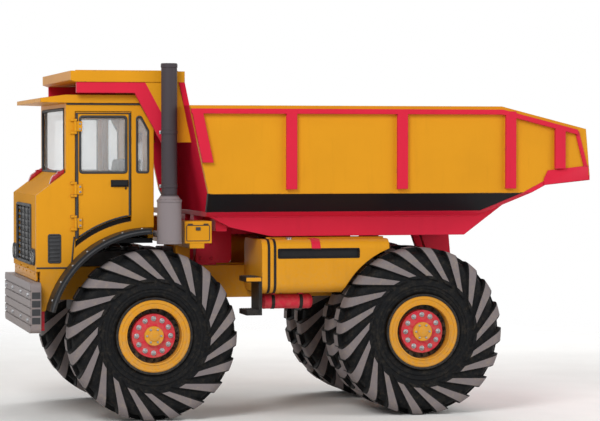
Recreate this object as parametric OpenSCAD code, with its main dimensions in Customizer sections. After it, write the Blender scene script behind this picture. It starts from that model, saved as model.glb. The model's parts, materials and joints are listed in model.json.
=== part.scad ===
// Rigid off-highway dump truck: steered front wheels, twin rear wheels, a tipping bed with a
// canopy over a full-width cab. Millimetres, +Z up, the truck faces -X and stands on z = 0.

/* [Layout] */
// Front axle to rear axle
wheelbase = 3300; // [3250:10:3500]
// Front axle to the bumper's face
front_overhang = 1450; // [1440:5:1520]
// Rear axle to the end of the bed's tail
rear_overhang = 2100; // [2000:10:2300]

/* [Wheels] */
// Tyre diameter over the lugs
tyre_d = 2040; // [1960:10:2060]
// Tyre section width
tyre_w = 520; // [480:10:540]
// Rim seat diameter, under the tyre bead
rim_d = 890; // [840:10:920]
// Inner diameter of the rim tube
rim_bore_d = 660; // [620:10:700]
// Distance between the middles of the front tyres
front_track = 2540; // [2500:10:2600]
// Clear distance between the inner rear tyres
rear_clear_w = 970; // [960:10:1000]
// Gap between the tyres of a twin pair
twin_gap = 80; // [60:5:120]
// Diameter of the red face of the wheel disc
disc_face_d = 524; // [480:4:560]
// Hub cap diameter
cap_d = 230; // [200:5:260]
// Steering lock to each side, in degrees
steer_lock = 28; // [20:1:30]

/* [Frame] */
// Outside width over the frame rails
frame_w = 830; // [800:10:840]
// Height of a frame rail
rail_h = 400; // [360:10:440]
// Width of a frame rail
rail_w = 150; // [120:5:170]
// Underside of the frame rails above the hubs
rail_lift = 380; // [360:5:400]

/* [Cab] */
// Cab width over the side panels
cab_w = 2300; // [2200:10:2340]
// Thickness of cab panels and doors
panel_t = 60; // [40:2:80]
// Cab length, windscreen to rear wall
cab_l = 1000; // [980:10:1020]
// Underside of the cab floor above the tyres' tops
cab_lift = 70; // [60:5:120]
// Window sill above the cab floor's underside
sill_h = 850; // [790:10:890]
// Window sill to the underside of the roof
window_h = 830; // [800:10:840]
// Roof thickness
roof_t = 98; // [80:2:100]
// Door width
door_w = 680; // [640:10:700]
// Door opening range, in degrees
door_swing = 70; // [50:5:80]

/* [Bed] */
// Bed width over the side plates
bed_w = 3400; // [3300:10:3440]
// Underside of the bed floor above the tyres' tops
bed_lift = 384; // [370:2:420]
// Height of the bed sides over the floor's underside
bed_side_h = 1336; // [1240:4:1380]
// Floor plate thickness
floor_t = 60; // [40:5:80]
// Side and front plate thickness
wall_t = 70; // [50:5:90]
// Height of the inclined plate between floor and side
chine_h = 286; // [250:2:310]
// How far the floor rises to the tail's lip
lip_rise = 376; // [340:4:400]
// How far the floor rises in all
tail_rise = 436; // [420:4:480]
// Tipping angle
tip_angle = 48; // [40:1:50]

/* [Hidden] */
$fn = 48;

// Paint
yellow = "#E3A21A";
red = "#C62A3F";
black = "#232428";
grey = "#8B8082";
glass = "#E8ECEF";
rubber = "#2A2B2E";

// Clearances: at rest between seated pieces, and at pins and around moving pieces
seat_gap = 0.3;
pin_gap = 0.5;
door_gap = 8;
rest_gap = 5;

// Places along the truck
overall_l = front_overhang + wheelbase + rear_overhang;
front_x = front_overhang - overall_l / 2;
rear_x = front_x + wheelbase;
tail_x = overall_l / 2;
bumper_x = -overall_l / 2;
hub_z = tyre_d / 2;
frame_in = frame_w / 2 - rail_w;
rail_z = hub_z + rail_lift;
rail_top = rail_z + rail_h;
cab_floor_z = tyre_d + cab_lift;
sill_z = cab_floor_z + sill_h;
roof_z = sill_z + window_h;
bed_z = tyre_d + bed_lift;
bed_top_z = bed_z + bed_side_h;

// Bumper
bumper_t = 130;
bumper_w = 2660;
bumper_z = hub_z + 40;
bumper_h = 600;
bumper_groove = 16;
bumper_grooves = 5;
bumper_back = bumper_x + bumper_t;

// Cab and nose
cab_h = cab_w / 2;
cab_in = cab_h - panel_t;
cab_front_x = front_x - cab_l;
cab_rear_x = front_x + 60;
nose_x = cab_front_x - 358;
nose_z = cab_floor_z - 330;
nose_top_z = sill_z - 270;
skirt_x = bumper_back + 10;
skirt_z = bumper_z + 250;
hood_t = 50;
roof_cut_x = 150;
roof_cut_z = 248;
visor_l = 306;
visor_drop = 40;
visor_t = 50;
front_pillar = 50;
door_x = cab_front_x + panel_t + front_pillar;
door_top_z = roof_z - 100;
window_margin = 62;
pillar_w = 66;
glass_t = 12;

// Front wheel arch: the mudguard clears the tyre at full lock
arch_clear = 190;
arch_r = tyre_d / 2 + arch_clear;
arch_fn = 240;
mudguard_t = 70;
arch_panel_r = arch_r + mudguard_t + seat_gap;
mudguard_y = 1500;
mudguard_from = 91;
mudguard_clear = 78;
mudguard_to = 180 - acos((front_x - bumper_back - mudguard_clear) / (arch_r + mudguard_t));
sill_w = 90;
// The door's foot stays clear of the sill as its inner edge swings back
door_foot_gap = 60;
sill_lip_t = 25;

// Steering
king_y = 930;
king_d = 110;
boss_d = 200;
boss_h = 240;
yoke_t = 90;
spindle_d = 180;

// Rear axle
housing_d = 340;
rear_spindle_d = 240;
rear_in = rear_clear_w / 2;
rear_out = rear_in + 2 * tyre_w + twin_gap;
front_in = front_track / 2 - tyre_w / 2;
front_out = front_in + tyre_w;

// Wheel disc: plate set back from the rim's outer face, with a raised face and a sleeve on the spindle
disc_back = 150;
disc_t = 40;
disc_raise = 80;
sleeve_l = 200;
cap_l = 50;

// Bed outline
bed_half = bed_w / 2;
chine_w = 450;
floor_half = bed_half - chine_w;
chine_slope = chine_h / chine_w;
bed_lean = 0.21;
bed_front_x = front_x + 400;
tail_from = rear_x + 800;
lip_x = tail_x - 575;
tail_slope = lip_rise / (lip_x - tail_from);
side_drop_x = tail_x - 1135;
side_end_x = tail_x - 50;
side_end_z = bed_top_z - 272;
side_fall = (bed_top_z - side_end_z) / (side_end_x - side_drop_x);
rib_t = 50;
rib_w = 130;
lip_h = 40;
rail_band = 60;
canopy_half = 1300;
canopy_t = 132;
canopy_clear = 150;
canopy_z = roof_z + roof_t + canopy_clear;
canopy_x = front_x - 960;
gusset_t = 60;
gusset_h = 130;
gusset_foot = bed_top_z - 440;

// Bed carrier: bolsters, hinge and hoist
bolster_h = 240;
bolster_z = bed_z - bolster_h;
bolster_w = 120;
beam_in = 170;
beam_out = 420;
beam_n = 6;
beam_w = 140;
hinge_x = rear_x + 650;
hinge_z = rail_top - 100;
hinge_d = 120;
lug_in = 160;
lug_t = 90;
lug_r = 125;
hoist_x = rear_x - 1100;
hoist_z = rail_z + 50;
eye_x = rear_x;
eye_z = bed_z - 74;
hoist_y = 80;
hoist_pin_d = 70;
barrel_d = 124;
rod_d = 80;
hoist_l = norm([eye_x - hoist_x, eye_z - hoist_z]);
hoist_tilt = atan2(eye_z - hoist_z, eye_x - hoist_x);
barrel_l = hoist_l - 220;
hoist_eye_d = 110;
hoist_neck = 90;

// Side equipment
step_l = 190;
step_clear = 120;
tank_x = front_x + tyre_d / 2 + step_clear + step_l;
tank_clear = 60;
tank_l = rear_x - tyre_d / 2 - tank_clear - tank_x;
tank_end = rear_x - 380;
tank_z = rail_z + 100;
tank_top = bolster_z - 34;
tank_out = 1430;
tank_r = 120;
outrigger_x = front_x + 460;
outrigger_w = 180;
outrigger_z = tyre_d + 2 * rest_gap;
outrigger_h = 60;
outrigger_out = 1340;

function bed_x(z) = bed_front_x + (bed_top_z - z) * bed_lean;
function floor_z(x) = bed_z + max(0, x - tail_from) * tail_slope;
function chine_y(z) = floor_half + (z - bed_z) / chine_slope;
hood_slope = (sill_z - nose_top_z) / (cab_front_x - seat_gap - nose_x);
function hood_z(x) = sill_z - (cab_front_x - seat_gap - x) * hood_slope;
function roof_cut_under(x) = roof_z - (x - (cab_rear_x - roof_cut_x - 10)) * roof_cut_z / roof_cut_x;

// A shape drawn in the X-Z plane, as thick as y1 - y0
module slab(y0, y1) {
  translate([0, y1, 0]) rotate([90, 0, 0]) linear_extrude(y1 - y0) children();
}
// A shape drawn in the Y-Z plane, running from x0 to x1
module bar(x0, x1) {
  translate([x0, 0, 0]) rotate([90, 0, 90]) linear_extrude(x1 - x0) children();
}
module box(x0, x1, y0, y1, z0, z1) {
  translate([x0, y0, z0]) cube([x1 - x0, y1 - y0, z1 - z0]);
}
module both() {
  children();
  mirror([0, 1, 0]) children();
}
// The right-hand piece as drawn, or its mirror image on the left
module on_side(left) {
  if (left) mirror([0, 1, 0]) children(); else children();
}
// A cylinder across the truck
module cross_rod(x, z, y0, y1, d) {
  translate([x, y1, z]) rotate([90, 0, 0]) cylinder(d = d, h = y1 - y0);
}
module rounded(w, h, r) {
  translate([r, 0]) square([w - 2 * r, h]);
  translate([0, r]) square([w, h - 2 * r]);
  for (x = [r, w - r], y = [r, h - r]) translate([x, y]) circle(r = r);
}

// Chassis
tow_d = 64;
tow_x = hinge_x + 170;
tow_l = 140;
tow_h = 80;
rear_plate_t = 30;
module frame() color(yellow) difference() {
  union() {
    both() box(bumper_back + seat_gap, tow_x, frame_in, frame_w / 2, rail_z, rail_top);
    for (x = [front_x - 1250, front_x + 700, rear_x - 1600, rear_x - 300])
      box(x, x + 120, -frame_in - 1, frame_in + 1, rail_z + 20, rail_z + 300);
    box(tow_x - rear_plate_t, tow_x, -frame_w / 2, frame_w / 2, rail_z, rail_z + 140);
    box(tow_x, tow_x + tow_l, -90, 90, rail_z + 30, rail_z + 30 + tow_h);
    cross_rod(hinge_x, hinge_z, -frame_w / 2, frame_w / 2, hinge_d);
    cross_rod(hoist_x, hoist_z, -frame_in - 1, frame_in + 1, hoist_pin_d);
    both() box(outrigger_x, outrigger_x + outrigger_w, frame_in, frame_w / 2, rail_top, outrigger_z);
    box(outrigger_x, outrigger_x + outrigger_w, -outrigger_out, outrigger_out, outrigger_z, outrigger_z + outrigger_h);
  }
  translate([tow_x + tow_l / 2, 0, rail_z]) cylinder(d = tow_d, h = 200);
}
module front_axle() color(black) difference() {
  union() {
    box(front_x - 90, front_x + 90, -king_y, king_y, hub_z - boss_h / 2 + 20, hub_z + boss_h / 2 - 20);
    both() translate([front_x, king_y, hub_z - boss_h / 2]) cylinder(d = boss_d, h = boss_h);
    both() translate([front_x, frame_w / 2 - rail_w / 2, hub_z])
      cylinder(d = 140, h = rail_z - seat_gap - hub_z);
  }
  both() translate([front_x, king_y, hub_z - boss_h]) cylinder(d = king_d + 2 * pin_gap, h = 2 * boss_h);
}
module knuckle(left) color(black) on_side(left) {
  yoke_z = boss_h / 2 + rest_gap;
  web_y = king_y + boss_d / 2 + rest_gap;
  for (z = [yoke_z, -yoke_z - yoke_t]) {
    translate([front_x, king_y, hub_z + z]) cylinder(d = boss_d, h = yoke_t);
    box(front_x - 80, front_x + 80, king_y, web_y + 60, hub_z + z, hub_z + z + yoke_t);
  }
  translate([front_x, king_y, hub_z - yoke_z - yoke_t]) cylinder(d = king_d, h = 2 * (yoke_z + yoke_t));
  box(front_x - 80, front_x + 80, web_y, web_y + 60, hub_z - yoke_z - yoke_t, hub_z + yoke_z + yoke_t);
  cross_rod(front_x, hub_z, web_y + 59, front_out - disc_back - disc_t + 30, spindle_d);
}
module rear_axle() color(black) {
  cross_rod(rear_x, hub_z, -rear_in + 20, rear_in - 20, housing_d);
  translate([rear_x, 0, hub_z]) rotate([90, 0, 0]) cylinder(d = 620, h = 300, center = true);
  both() cross_rod(rear_x, hub_z, 0, rear_out - disc_back - disc_t + 30, rear_spindle_d);
  both() translate([rear_x, frame_w / 2 - rail_w / 2, hub_z]) cylinder(d = 140, h = rail_z - seat_gap - hub_z);
}
engine_x = front_x - 800;
engine_l = 1300;
engine_drop = 150;
engine_top = cab_floor_z - 130;
module engine() color(grey) {
  half = frame_in - seat_gap;
  box(engine_x, engine_x + engine_l, -half, half, rail_z - engine_drop, engine_top);
}

// Front end
module bumper() color(grey) difference() {
  translate([bumper_x, -bumper_w / 2, bumper_z]) rotate([90, 0, 90]) linear_extrude(bumper_t)
    rounded(bumper_w, bumper_h, 60);
  for (i = [1:bumper_grooves]) {
    z = bumper_z + bumper_h * i / (bumper_grooves + 1);
    box(bumper_x - 1, bumper_x + 12, -bumper_w, bumper_w, z - bumper_groove / 2, z + bumper_groove / 2);
  }
}
module bumper_brackets() color(red) both()
  box(bumper_back + seat_gap, bumper_back + 60, cab_in, cab_h, bumper_z + 20, skirt_z - seat_gap);

grille_half = 700;
grille_z = nose_z + 80;
grille_h = 700;
lamp_d = 170;
lamp_ys = [800, 990];
lamp_z = nose_z + 170;
module nose() color(yellow) difference() {
  slab(-cab_in + seat_gap, cab_in - seat_gap) polygon([
    [nose_x, nose_z], [nose_x, nose_top_z], [cab_front_x - seat_gap, sill_z],
    [cab_front_x - seat_gap, sill_z - hood_t], [nose_x + hood_t, nose_top_z - hood_t], [nose_x + hood_t, nose_z]]);
  box(nose_x - 1, nose_x + hood_t + 1, -grille_half, grille_half, grille_z, grille_z + grille_h);
  // Notches over the frame rails
  both() box(nose_x - 1, nose_x + hood_t + 1, frame_in - rest_gap, frame_w / 2 + rest_gap, nose_z - 1, rail_top + rest_gap);
  both() for (y = lamp_ys) translate([nose_x - 1, y, lamp_z]) rotate([0, 90, 0])
    cylinder(d = lamp_d, h = hood_t + 2);
}
slat_n = 9;
module grille() color(black) {
  slat_h = 30;
  y = grille_half - seat_gap;
  box(nose_x + 30, nose_x + 110, -y, y, grille_z + seat_gap, grille_z + grille_h - seat_gap);
  for (i = [0:slat_n - 1]) {
    z = grille_z + (grille_h - slat_h) * (i + 0.5) / slat_n;
    box(nose_x + 5, nose_x + 40, -y, y, z, z + slat_h);
  }
}
module headlamps() color(glass) both() for (y = lamp_ys)
  translate([nose_x - 14, y, lamp_z]) rotate([0, 90, 0]) cylinder(d = lamp_d - 2 * seat_gap, h = 70);

// Cab
module arch_circle(r) translate([front_x, hub_z]) circle(r = r, $fn = arch_fn);
module door_outline(gap, foot_gap) intersection() {
  translate([door_x + gap, hub_z]) square([door_w - 2 * gap, door_top_z - hub_z - gap]);
  difference() {
    translate([door_x, hub_z]) square([door_w, door_top_z - hub_z]);
    arch_circle(arch_panel_r + sill_w + foot_gap);
  }
}
module sill_arc(w) intersection() {
  translate([door_x, cab_floor_z - 300]) square([door_w, 600]);
  difference() {
    arch_circle(arch_panel_r + w);
    arch_circle(arch_panel_r);
  }
}
hinge_off = 20;
door_hinge_d = 36;
door_hinge_h = 120;
door_pin_d = 18;
door_hinge_x = door_x + 4;
door_hinge_zs = [for (z = [190, 590, 1340]) cab_floor_z + z];
module cab_side(left) color(yellow) on_side(left) {
  slab(cab_in, cab_h) difference() {
    polygon([
      [nose_x, nose_z], [nose_x, nose_top_z], [cab_front_x, sill_z], [cab_front_x, roof_z],
      [cab_rear_x - roof_cut_x - 10, roof_z], [cab_rear_x, roof_cut_under(cab_rear_x)],
      [cab_rear_x, skirt_z], [skirt_x, skirt_z], [skirt_x, nose_z]]);
    arch_circle(arch_panel_r);
    door_outline(0, 0);
    quarter_window(0);
  }
  // Lip inside the sill, behind the door's foot
  slab(cab_in - rest_gap - sill_lip_t, cab_in - rest_gap) sill_arc(sill_w + door_foot_gap + 30);
  slab(cab_in - rest_gap - sill_lip_t, cab_h) sill_arc(sill_w);
  // Hinge pins with a carrier at each end, on the front pillar
  for (z = door_hinge_zs) {
    translate([door_hinge_x, cab_h + hinge_off, z - 30]) cylinder(d = door_pin_d, h = door_hinge_h + 60);
    for (dz = [-30, door_hinge_h + 2]) {
      translate([door_hinge_x, cab_h + hinge_off, z + dz]) cylinder(d = door_hinge_d, h = 28);
      box(door_hinge_x - 60, door_hinge_x, cab_h, cab_h + hinge_off, z + dz, z + dz + 28);
    }
  }
}
module quarter_window(gap) {
  x0 = door_x + door_w + pillar_w + gap;
  x1 = cab_rear_x - pillar_w - gap;
  polygon([
    [x0, sill_z + gap], [x0, door_top_z - window_margin - gap], [x1 - 90, door_top_z - window_margin - gap],
    [x1, door_top_z - 230], [x1, sill_z + gap]]);
}
module door_window(gap) translate([door_x + window_margin + gap, sill_z + gap])
  square([door_w - 2 * window_margin - 2 * gap, door_top_z - window_margin - sill_z - 2 * gap]);
module door(left) color(yellow) on_side(left) {
  slab(cab_in, cab_h) difference() {
    door_outline(door_gap, door_foot_gap);
    door_window(0);
  }
  for (z = door_hinge_zs) difference() {
    union() {
      translate([door_hinge_x, cab_h + hinge_off, z]) cylinder(d = door_hinge_d, h = door_hinge_h);
      box(door_hinge_x, door_hinge_x + 80, cab_h, cab_h + hinge_off, z, z + door_hinge_h);
    }
    translate([door_hinge_x, cab_h + hinge_off, z - 1])
      cylinder(d = door_pin_d + 2 * pin_gap, h = door_hinge_h + 2);
  }
  // Handle
  box(door_x + door_w - 230, door_x + door_w - 60, cab_h, cab_h + 30, sill_z - 150, sill_z - 110);
}
module door_glass(left) color(glass) on_side(left)
  slab(cab_h - 36, cab_h - 36 + glass_t) door_window(seat_gap);
screen_half = cab_in - 90;
module screen(gap) translate([-screen_half + gap, sill_z + gap])
  square([2 * (screen_half - gap), roof_z - 70 - sill_z - 2 * gap]);
module cab_front() color(yellow) bar(cab_front_x, cab_front_x + panel_t) difference() {
  translate([-cab_in + seat_gap, cab_floor_z + panel_t + seat_gap])
    square([2 * (cab_in - seat_gap), roof_z - cab_floor_z - panel_t - 2 * seat_gap]);
  screen(0);
}
rear_window_half = 700;
rear_window_h = 480;
module rear_window(gap) translate([-rear_window_half + gap, sill_z + gap])
  square([2 * (rear_window_half - gap), rear_window_h - 2 * gap]);
module cab_rear() color(yellow) difference() {
  slab(-cab_in + seat_gap, cab_in - seat_gap) polygon([
    [cab_rear_x - panel_t, cab_floor_z + panel_t + seat_gap], [cab_rear_x, cab_floor_z + panel_t + seat_gap],
    [cab_rear_x, roof_cut_under(cab_rear_x) - 1], [cab_rear_x - panel_t, roof_cut_under(cab_rear_x - panel_t) - 1]]);
  bar(cab_rear_x - panel_t - 1, cab_rear_x + 1) rear_window(0);
}
module cab_roof() color(yellow) slab(-cab_h - 30, cab_h + 30) polygon([
  [cab_front_x - visor_l, roof_z + roof_t - visor_drop - visor_t], [cab_front_x - visor_l, roof_z + roof_t - visor_drop],
  [cab_front_x, roof_z + roof_t], [cab_rear_x - roof_cut_x, roof_z + roof_t], [cab_rear_x, roof_z + roof_t - roof_cut_z],
  [cab_rear_x, roof_cut_under(cab_rear_x) + seat_gap],
  [cab_rear_x - roof_cut_x - 10, roof_z + seat_gap], [cab_front_x, roof_z + seat_gap]]);
module cab_floor() color(black) {
  half = cab_in - rest_gap - sill_lip_t - seat_gap;
  box(cab_front_x, cab_rear_x, -half, half, cab_floor_z, cab_floor_z + panel_t);
}
module cab_glass() color(glass) {
  bar(cab_front_x + 24, cab_front_x + 24 + glass_t) screen(seat_gap);
  bar(cab_rear_x - 36, cab_rear_x - 36 + glass_t) rear_window(seat_gap);
  both() slab(cab_h - 36, cab_h - 36 + glass_t) quarter_window(seat_gap);
}
// Dashboard across the cab, with the steering wheel in front of the left seat
dash_foot_z = sill_z - 360;
dash_brow_z = sill_z - 160;
dash_top_z = sill_z - 40;
dash_l = 190;
seat_y = 560;
wheel_r = 190;
wheel_grip_d = 34;
column_l = 170;
column_tilt = 55;
spoke_w = 30;
module dashboard() color(black) {
  x = cab_front_x + panel_t + seat_gap;
  slab(-cab_in + rest_gap, cab_in - rest_gap) polygon([
    [x, dash_foot_z], [x, dash_top_z], [x + 60, dash_top_z], [x + dash_l, dash_brow_z], [x + 120, dash_foot_z]]);
  translate([x + 120, -seat_y, dash_brow_z - 40]) rotate([0, column_tilt, 0]) {
    cylinder(d = 60, h = column_l);
    translate([0, 0, column_l - 20]) rotate_extrude() translate([wheel_r, 0]) circle(d = wheel_grip_d);
    for (a = [0:120:359]) rotate([0, 0, a])
      translate([0, -spoke_w / 2, column_l - spoke_w]) cube([wheel_r, spoke_w, 20]);
  }
}
seat_x = cab_rear_x - panel_t - 40;
module seats() color(black) for (y = [-seat_y, seat_y]) translate([0, y, 0]) {
  z = cab_floor_z + panel_t + seat_gap;
  box(seat_x - 430, seat_x - 80, -170, 170, z, z + 260);
  slab(-250, 250) polygon([
    [seat_x - 540, z + 260], [seat_x - 560, z + 330], [seat_x - 520, z + 390], [seat_x - 160, z + 360],
    [seat_x - 110, z + 950], [seat_x - 20, z + 990], [seat_x + 20, z + 900], [seat_x - 60, z + 260]]);
}
module ring_sector(r0, r1, a0, a1) difference() {
  circle(r = r1, $fn = arch_fn);
  circle(r = r0, $fn = arch_fn);
  far = 3 * r1;
  polygon([[0, 0], far * [cos(a1), sin(a1)], far * [cos(a1 + 45), sin(a1 + 45)], far * [cos(a1 + 100), sin(a1 + 100)],
    far * [cos(a0 - 100), sin(a0 - 100)], far * [cos(a0 - 45), sin(a0 - 45)], far * [cos(a0), sin(a0)]]);
}
module mudguards() color(black) both()
  slab(cab_in, mudguard_y) translate([front_x, hub_z])
    ring_sector(arch_r, arch_r + mudguard_t, mudguard_from, mudguard_to);

// Side equipment
stack_x = front_x + 200;
stack_y = -1420;
stack_d = 190;
muffler_d = 290;
muffler_z = cab_floor_z;
muffler_h = 530;
muffler_top = muffler_z + muffler_h;
stack_top = canopy_z + canopy_t + 90;
module exhaust() color(grey) {
  translate([stack_x, stack_y, 0]) {
    translate([0, 0, muffler_z]) cylinder(d = muffler_d, h = muffler_top - muffler_z);
    difference() {
      translate([0, 0, muffler_top - 1]) cylinder(d = stack_d, h = stack_top - muffler_top + 1);
      translate([0, 0, stack_top - 500]) cylinder(d = stack_d - 24, h = 501);
    }
  }
  for (z = [muffler_z + 90, muffler_z + 370]) {
    box(cab_rear_x + seat_gap, cab_rear_x + 40, stack_y, -cab_in, z, z + 60);
    box(cab_rear_x + seat_gap, stack_x, stack_y - 30, stack_y + 30, z, z + 60);
  }
}
box_x = front_x + 400;
box_l = 330;
box_w = 440;
box_h = 266;
module side_boxes() color(yellow) both() {
  z = outrigger_z + outrigger_h;
  box(box_x, box_x + box_l, outrigger_out - box_w, outrigger_out, z + seat_gap, z + box_h);
}
module side_tanks() color(yellow) both() difference() {
  bar(tank_x, tank_end) translate([frame_w / 2 + seat_gap, tank_z])
    rounded(tank_out - frame_w / 2 - seat_gap, tank_top - tank_z, tank_r);
  cross_rod(rear_x, hub_z, 0, 2 * tank_out, tyre_d + 2 * tank_clear);
  box(tank_x + slot_end, tank_end - slot_back, tank_out - slot_depth, tank_out + 1, slot_z, slot_z + slot_h);
}
// Slot in the tank's face for a foot or a hand
slot_end = 200;
slot_back = 380;
slot_depth = 30;
slot_z = tank_z + 425;
slot_h = 110;
// Air tank hung under the left side tank
air_x = tank_x + 70;
air_share = 0.65;
air_l = air_share * tank_l;
air_y = -1150;
air_z = tank_z - 110;
air_d = 180;
hanger_w = 60;
module air_tank() color(red) {
  translate([air_x, air_y, air_z]) rotate([0, 90, 0]) cylinder(d = air_d, h = air_l);
  for (s = [0.2, 0.8]) {
    x = air_x + s * air_l - hanger_w / 2;
    box(x, x + hanger_w, air_y - 40, air_y + 40, air_z, tank_z - seat_gap);
  }
}
step_in = 1000;
step_t = 60;
step_zs = [tank_z - 260, tank_z + 140];
module steps() color(black) both() {
  back = tank_x - seat_gap;
  for (z = step_zs) box(tank_x - step_l, back, step_in, tank_out, z, z + step_t);
  box(tank_x - 40, back, step_in, tank_out, step_zs[0], step_zs[1] + 1);
}
module red_lamps() color(red) both() {
  slab(cab_in - 100, cab_in - 20) polygon([
    [cab_front_x - 90, hood_z(cab_front_x - 90) + seat_gap], [cab_front_x - 90, sill_z + 10],
    [cab_front_x - 10, sill_z + 30], [cab_front_x - 10, hood_z(cab_front_x - 10) + seat_gap]]);
  box(tow_x + seat_gap, tow_x + 40, 220, 380, rail_z + 20, rail_z + 120);
}

// Wheels: tyres are revolved about the axle line at y = 0, then moved out
bead_r = 60;
shoulder_r = 110;
module tyre_section(r1, w) {
  r0 = rim_d / 2 + seat_gap;
  translate([r0, -w / 2 + bead_r]) square([r1 - r0 - shoulder_r, w - 2 * bead_r]);
  translate([r0 + bead_r, -w / 2]) square([r1 - r0 - bead_r - shoulder_r, w]);
  translate([r1 - shoulder_r - 1, -w / 2 + shoulder_r]) square([shoulder_r + 1, w - 2 * shoulder_r]);
  for (s = [-1, 1]) {
    translate([r0 + bead_r, s * (w / 2 - bead_r)]) circle(r = bead_r);
    translate([r1 - shoulder_r, s * (w / 2 - shoulder_r)]) circle(r = shoulder_r);
  }
}
// Lugs: a row on each side of the tread, half a pitch apart, that lap at the middle and run
// over the shoulder down to the root. Seen from outside they sweep round as they go out.
lug_n = 20;
lug_h = 55;
lug_side_h = 28;
lug_root_d = 1230;
lug_sweep = 34;
lug_share = 0.54;
lug_lap = 25;
lug_sink = 12;
function polar(r, a) = r * [cos(a), sin(a)];
module lug_outline() {
  half = lug_share * 180 / lug_n;
  r0 = lug_root_d / 2;
  r1 = tyre_d / 2 + 20;
  polygon([
    polar(r0, half), polar(r1, half - lug_sweep), polar(r1 + 30, -lug_sweep), polar(r1, -half - lug_sweep),
    polar(r0, -half)]);
}
module lug_rows() for (side = [0, 1], i = [0:lug_n - 1])
  rotate((i + side / 2) * 360 / lug_n) translate([0, 0, side == 0 ? -lug_lap : -tyre_w / 2 - 1])
    linear_extrude(tyre_w / 2 + 1 + lug_lap) lug_outline();
module lug_band() rotate_extrude() difference() {
  tyre_section(tyre_d / 2, tyre_w);
  translate([0, -tyre_w]) square([lug_root_d / 2 + 20, 2 * tyre_w]);
  tyre_section(tyre_d / 2 - lug_h - lug_sink, tyre_w - 2 * (lug_side_h + lug_sink));
}
module on_axle(x, y) translate([x, y, hub_z]) rotate([-90, 0, 0]) children();
module tyre(x, y) on_axle(x, y) {
  rotate_extrude() tyre_section(tyre_d / 2 - lug_h, tyre_w - 2 * lug_side_h);
  intersection() {
    lug_band();
    lug_rows();
  }
}
module rim(x, y0, y1) color(yellow) {
  on_axle(x, y0) difference() {
    cylinder(d = rim_d, h = y1 - y0);
    translate([0, 0, -1]) cylinder(d = rim_bore_d, h = y1 - y0 + 2);
  }
  on_axle(x, y1 - disc_back + disc_raise + seat_gap) cylinder(d = cap_d, h = cap_l);
}
module disc(x, y1, bore_d) color(red) difference() {
  union() {
    on_axle(x, y1 - disc_back - disc_t) cylinder(d = rim_bore_d - 2 * seat_gap, h = disc_t);
    on_axle(x, y1 - disc_back - 1) cylinder(d = disc_face_d, h = disc_raise + 1);
    on_axle(x, y1 - disc_back - disc_t - sleeve_l) cylinder(d = bore_d + 80, h = sleeve_l + 1);
  }
  on_axle(x, y1 - disc_back - disc_t - sleeve_l - 1) cylinder(d = bore_d + 2 * pin_gap, h = sleeve_l + disc_t + 1);
}
module front_tyre(left) color(rubber) on_side(left) tyre(front_x, front_track / 2);
module rear_tyres(left) color(rubber) on_side(left)
  for (y = [rear_in + tyre_w / 2, rear_out - tyre_w / 2]) tyre(rear_x, y);

// Bed
module bed_floor() color(yellow) intersection() {
  slab(-bed_half, bed_half) polygon([
    [bed_x(bed_z), bed_z], [tail_from, bed_z], [lip_x, bed_z + lip_rise], [tail_x, bed_z + tail_rise],
    [tail_x, bed_z + tail_rise + floor_t], [lip_x, bed_z + lip_rise + floor_t], [tail_from, bed_z + floor_t],
    [bed_x(bed_z + floor_t), bed_z + floor_t]]);
  bar(bed_front_x, tail_x + 1) polygon([
    [-floor_half, bed_z], [floor_half, bed_z], [bed_half, bed_z + chine_h], [bed_half, bed_top_z],
    [-bed_half, bed_top_z], [-bed_half, bed_z + chine_h]]);
}
chine_top = bed_z + chine_h;
chine_end_x = tail_from + (chine_h - floor_t) / tail_slope;
module bed_chines() color(black) both() intersection() {
  bar(bed_front_x, tail_x) polygon([
    [floor_half, bed_z + floor_t + seat_gap], [chine_y(bed_z + floor_t), bed_z + floor_t + seat_gap],
    [bed_half, chine_top], [chine_y(chine_top) - (chine_y(bed_z + floor_t) - floor_half), chine_top]]);
  slab(0, bed_half) polygon([
    [bed_x(bed_z + floor_t), bed_z + floor_t], [tail_from, bed_z + floor_t + seat_gap], [chine_end_x, chine_top],
    [bed_x(chine_top), chine_top]]);
}
module bed_side(left) color(yellow) on_side(left) slab(bed_half - wall_t, bed_half) polygon([
  [bed_x(chine_top + seat_gap), chine_top + seat_gap], [chine_end_x, chine_top + seat_gap],
  [lip_x, bed_z + lip_rise + floor_t + seat_gap], [tail_x, bed_z + tail_rise + floor_t + seat_gap],
  [side_end_x, side_end_z], [side_drop_x, bed_top_z], [bed_x(bed_top_z), bed_top_z]]);
module bed_front() color(red) intersection() {
  z0 = bed_z + floor_t + seat_gap;
  z1 = canopy_z - seat_gap;
  half = bed_half - wall_t - seat_gap;
  slab(-bed_half, bed_half) polygon([
    [bed_x(z0), z0], [bed_x(z0) + wall_t, z0], [bed_x(z1) + wall_t, z1], [bed_x(z1), z1]]);
  // Outline seen from the front: in along the chines, full width, and narrower up to the canopy
  bar(bed_front_x - 500, bed_front_x + 2000) polygon([
    [-floor_half + 1, z0], [floor_half - 1, z0], [half, chine_top + 30], [half, bed_top_z],
    [canopy_half, bed_top_z], [canopy_half, z1], [-canopy_half, z1],
    [-canopy_half, bed_top_z], [-half, bed_top_z], [-half, chine_top + 30]]);
}
module bed_canopy() color(yellow) slab(-canopy_half, canopy_half) polygon([
  [canopy_x, canopy_z + 20], [canopy_x, canopy_z + canopy_t], [bed_x(canopy_z) + wall_t, canopy_z + canopy_t],
  [bed_x(canopy_z) + wall_t, canopy_z], [canopy_x + 60, canopy_z]]);

// Side ribs stand a pitch apart, with a short one near the tail
rib_pitch = 1372;
rib_from = bed_front_x + 1160;
rib_foot = chine_top + 50;
rib_top = bed_top_z - lip_h - 20;
tail_rib_x = side_end_x - 410;
post_foot = bed_top_z - 680;
function side_top(x) = bed_top_z - max(0, x - side_drop_x) * side_fall;
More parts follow.
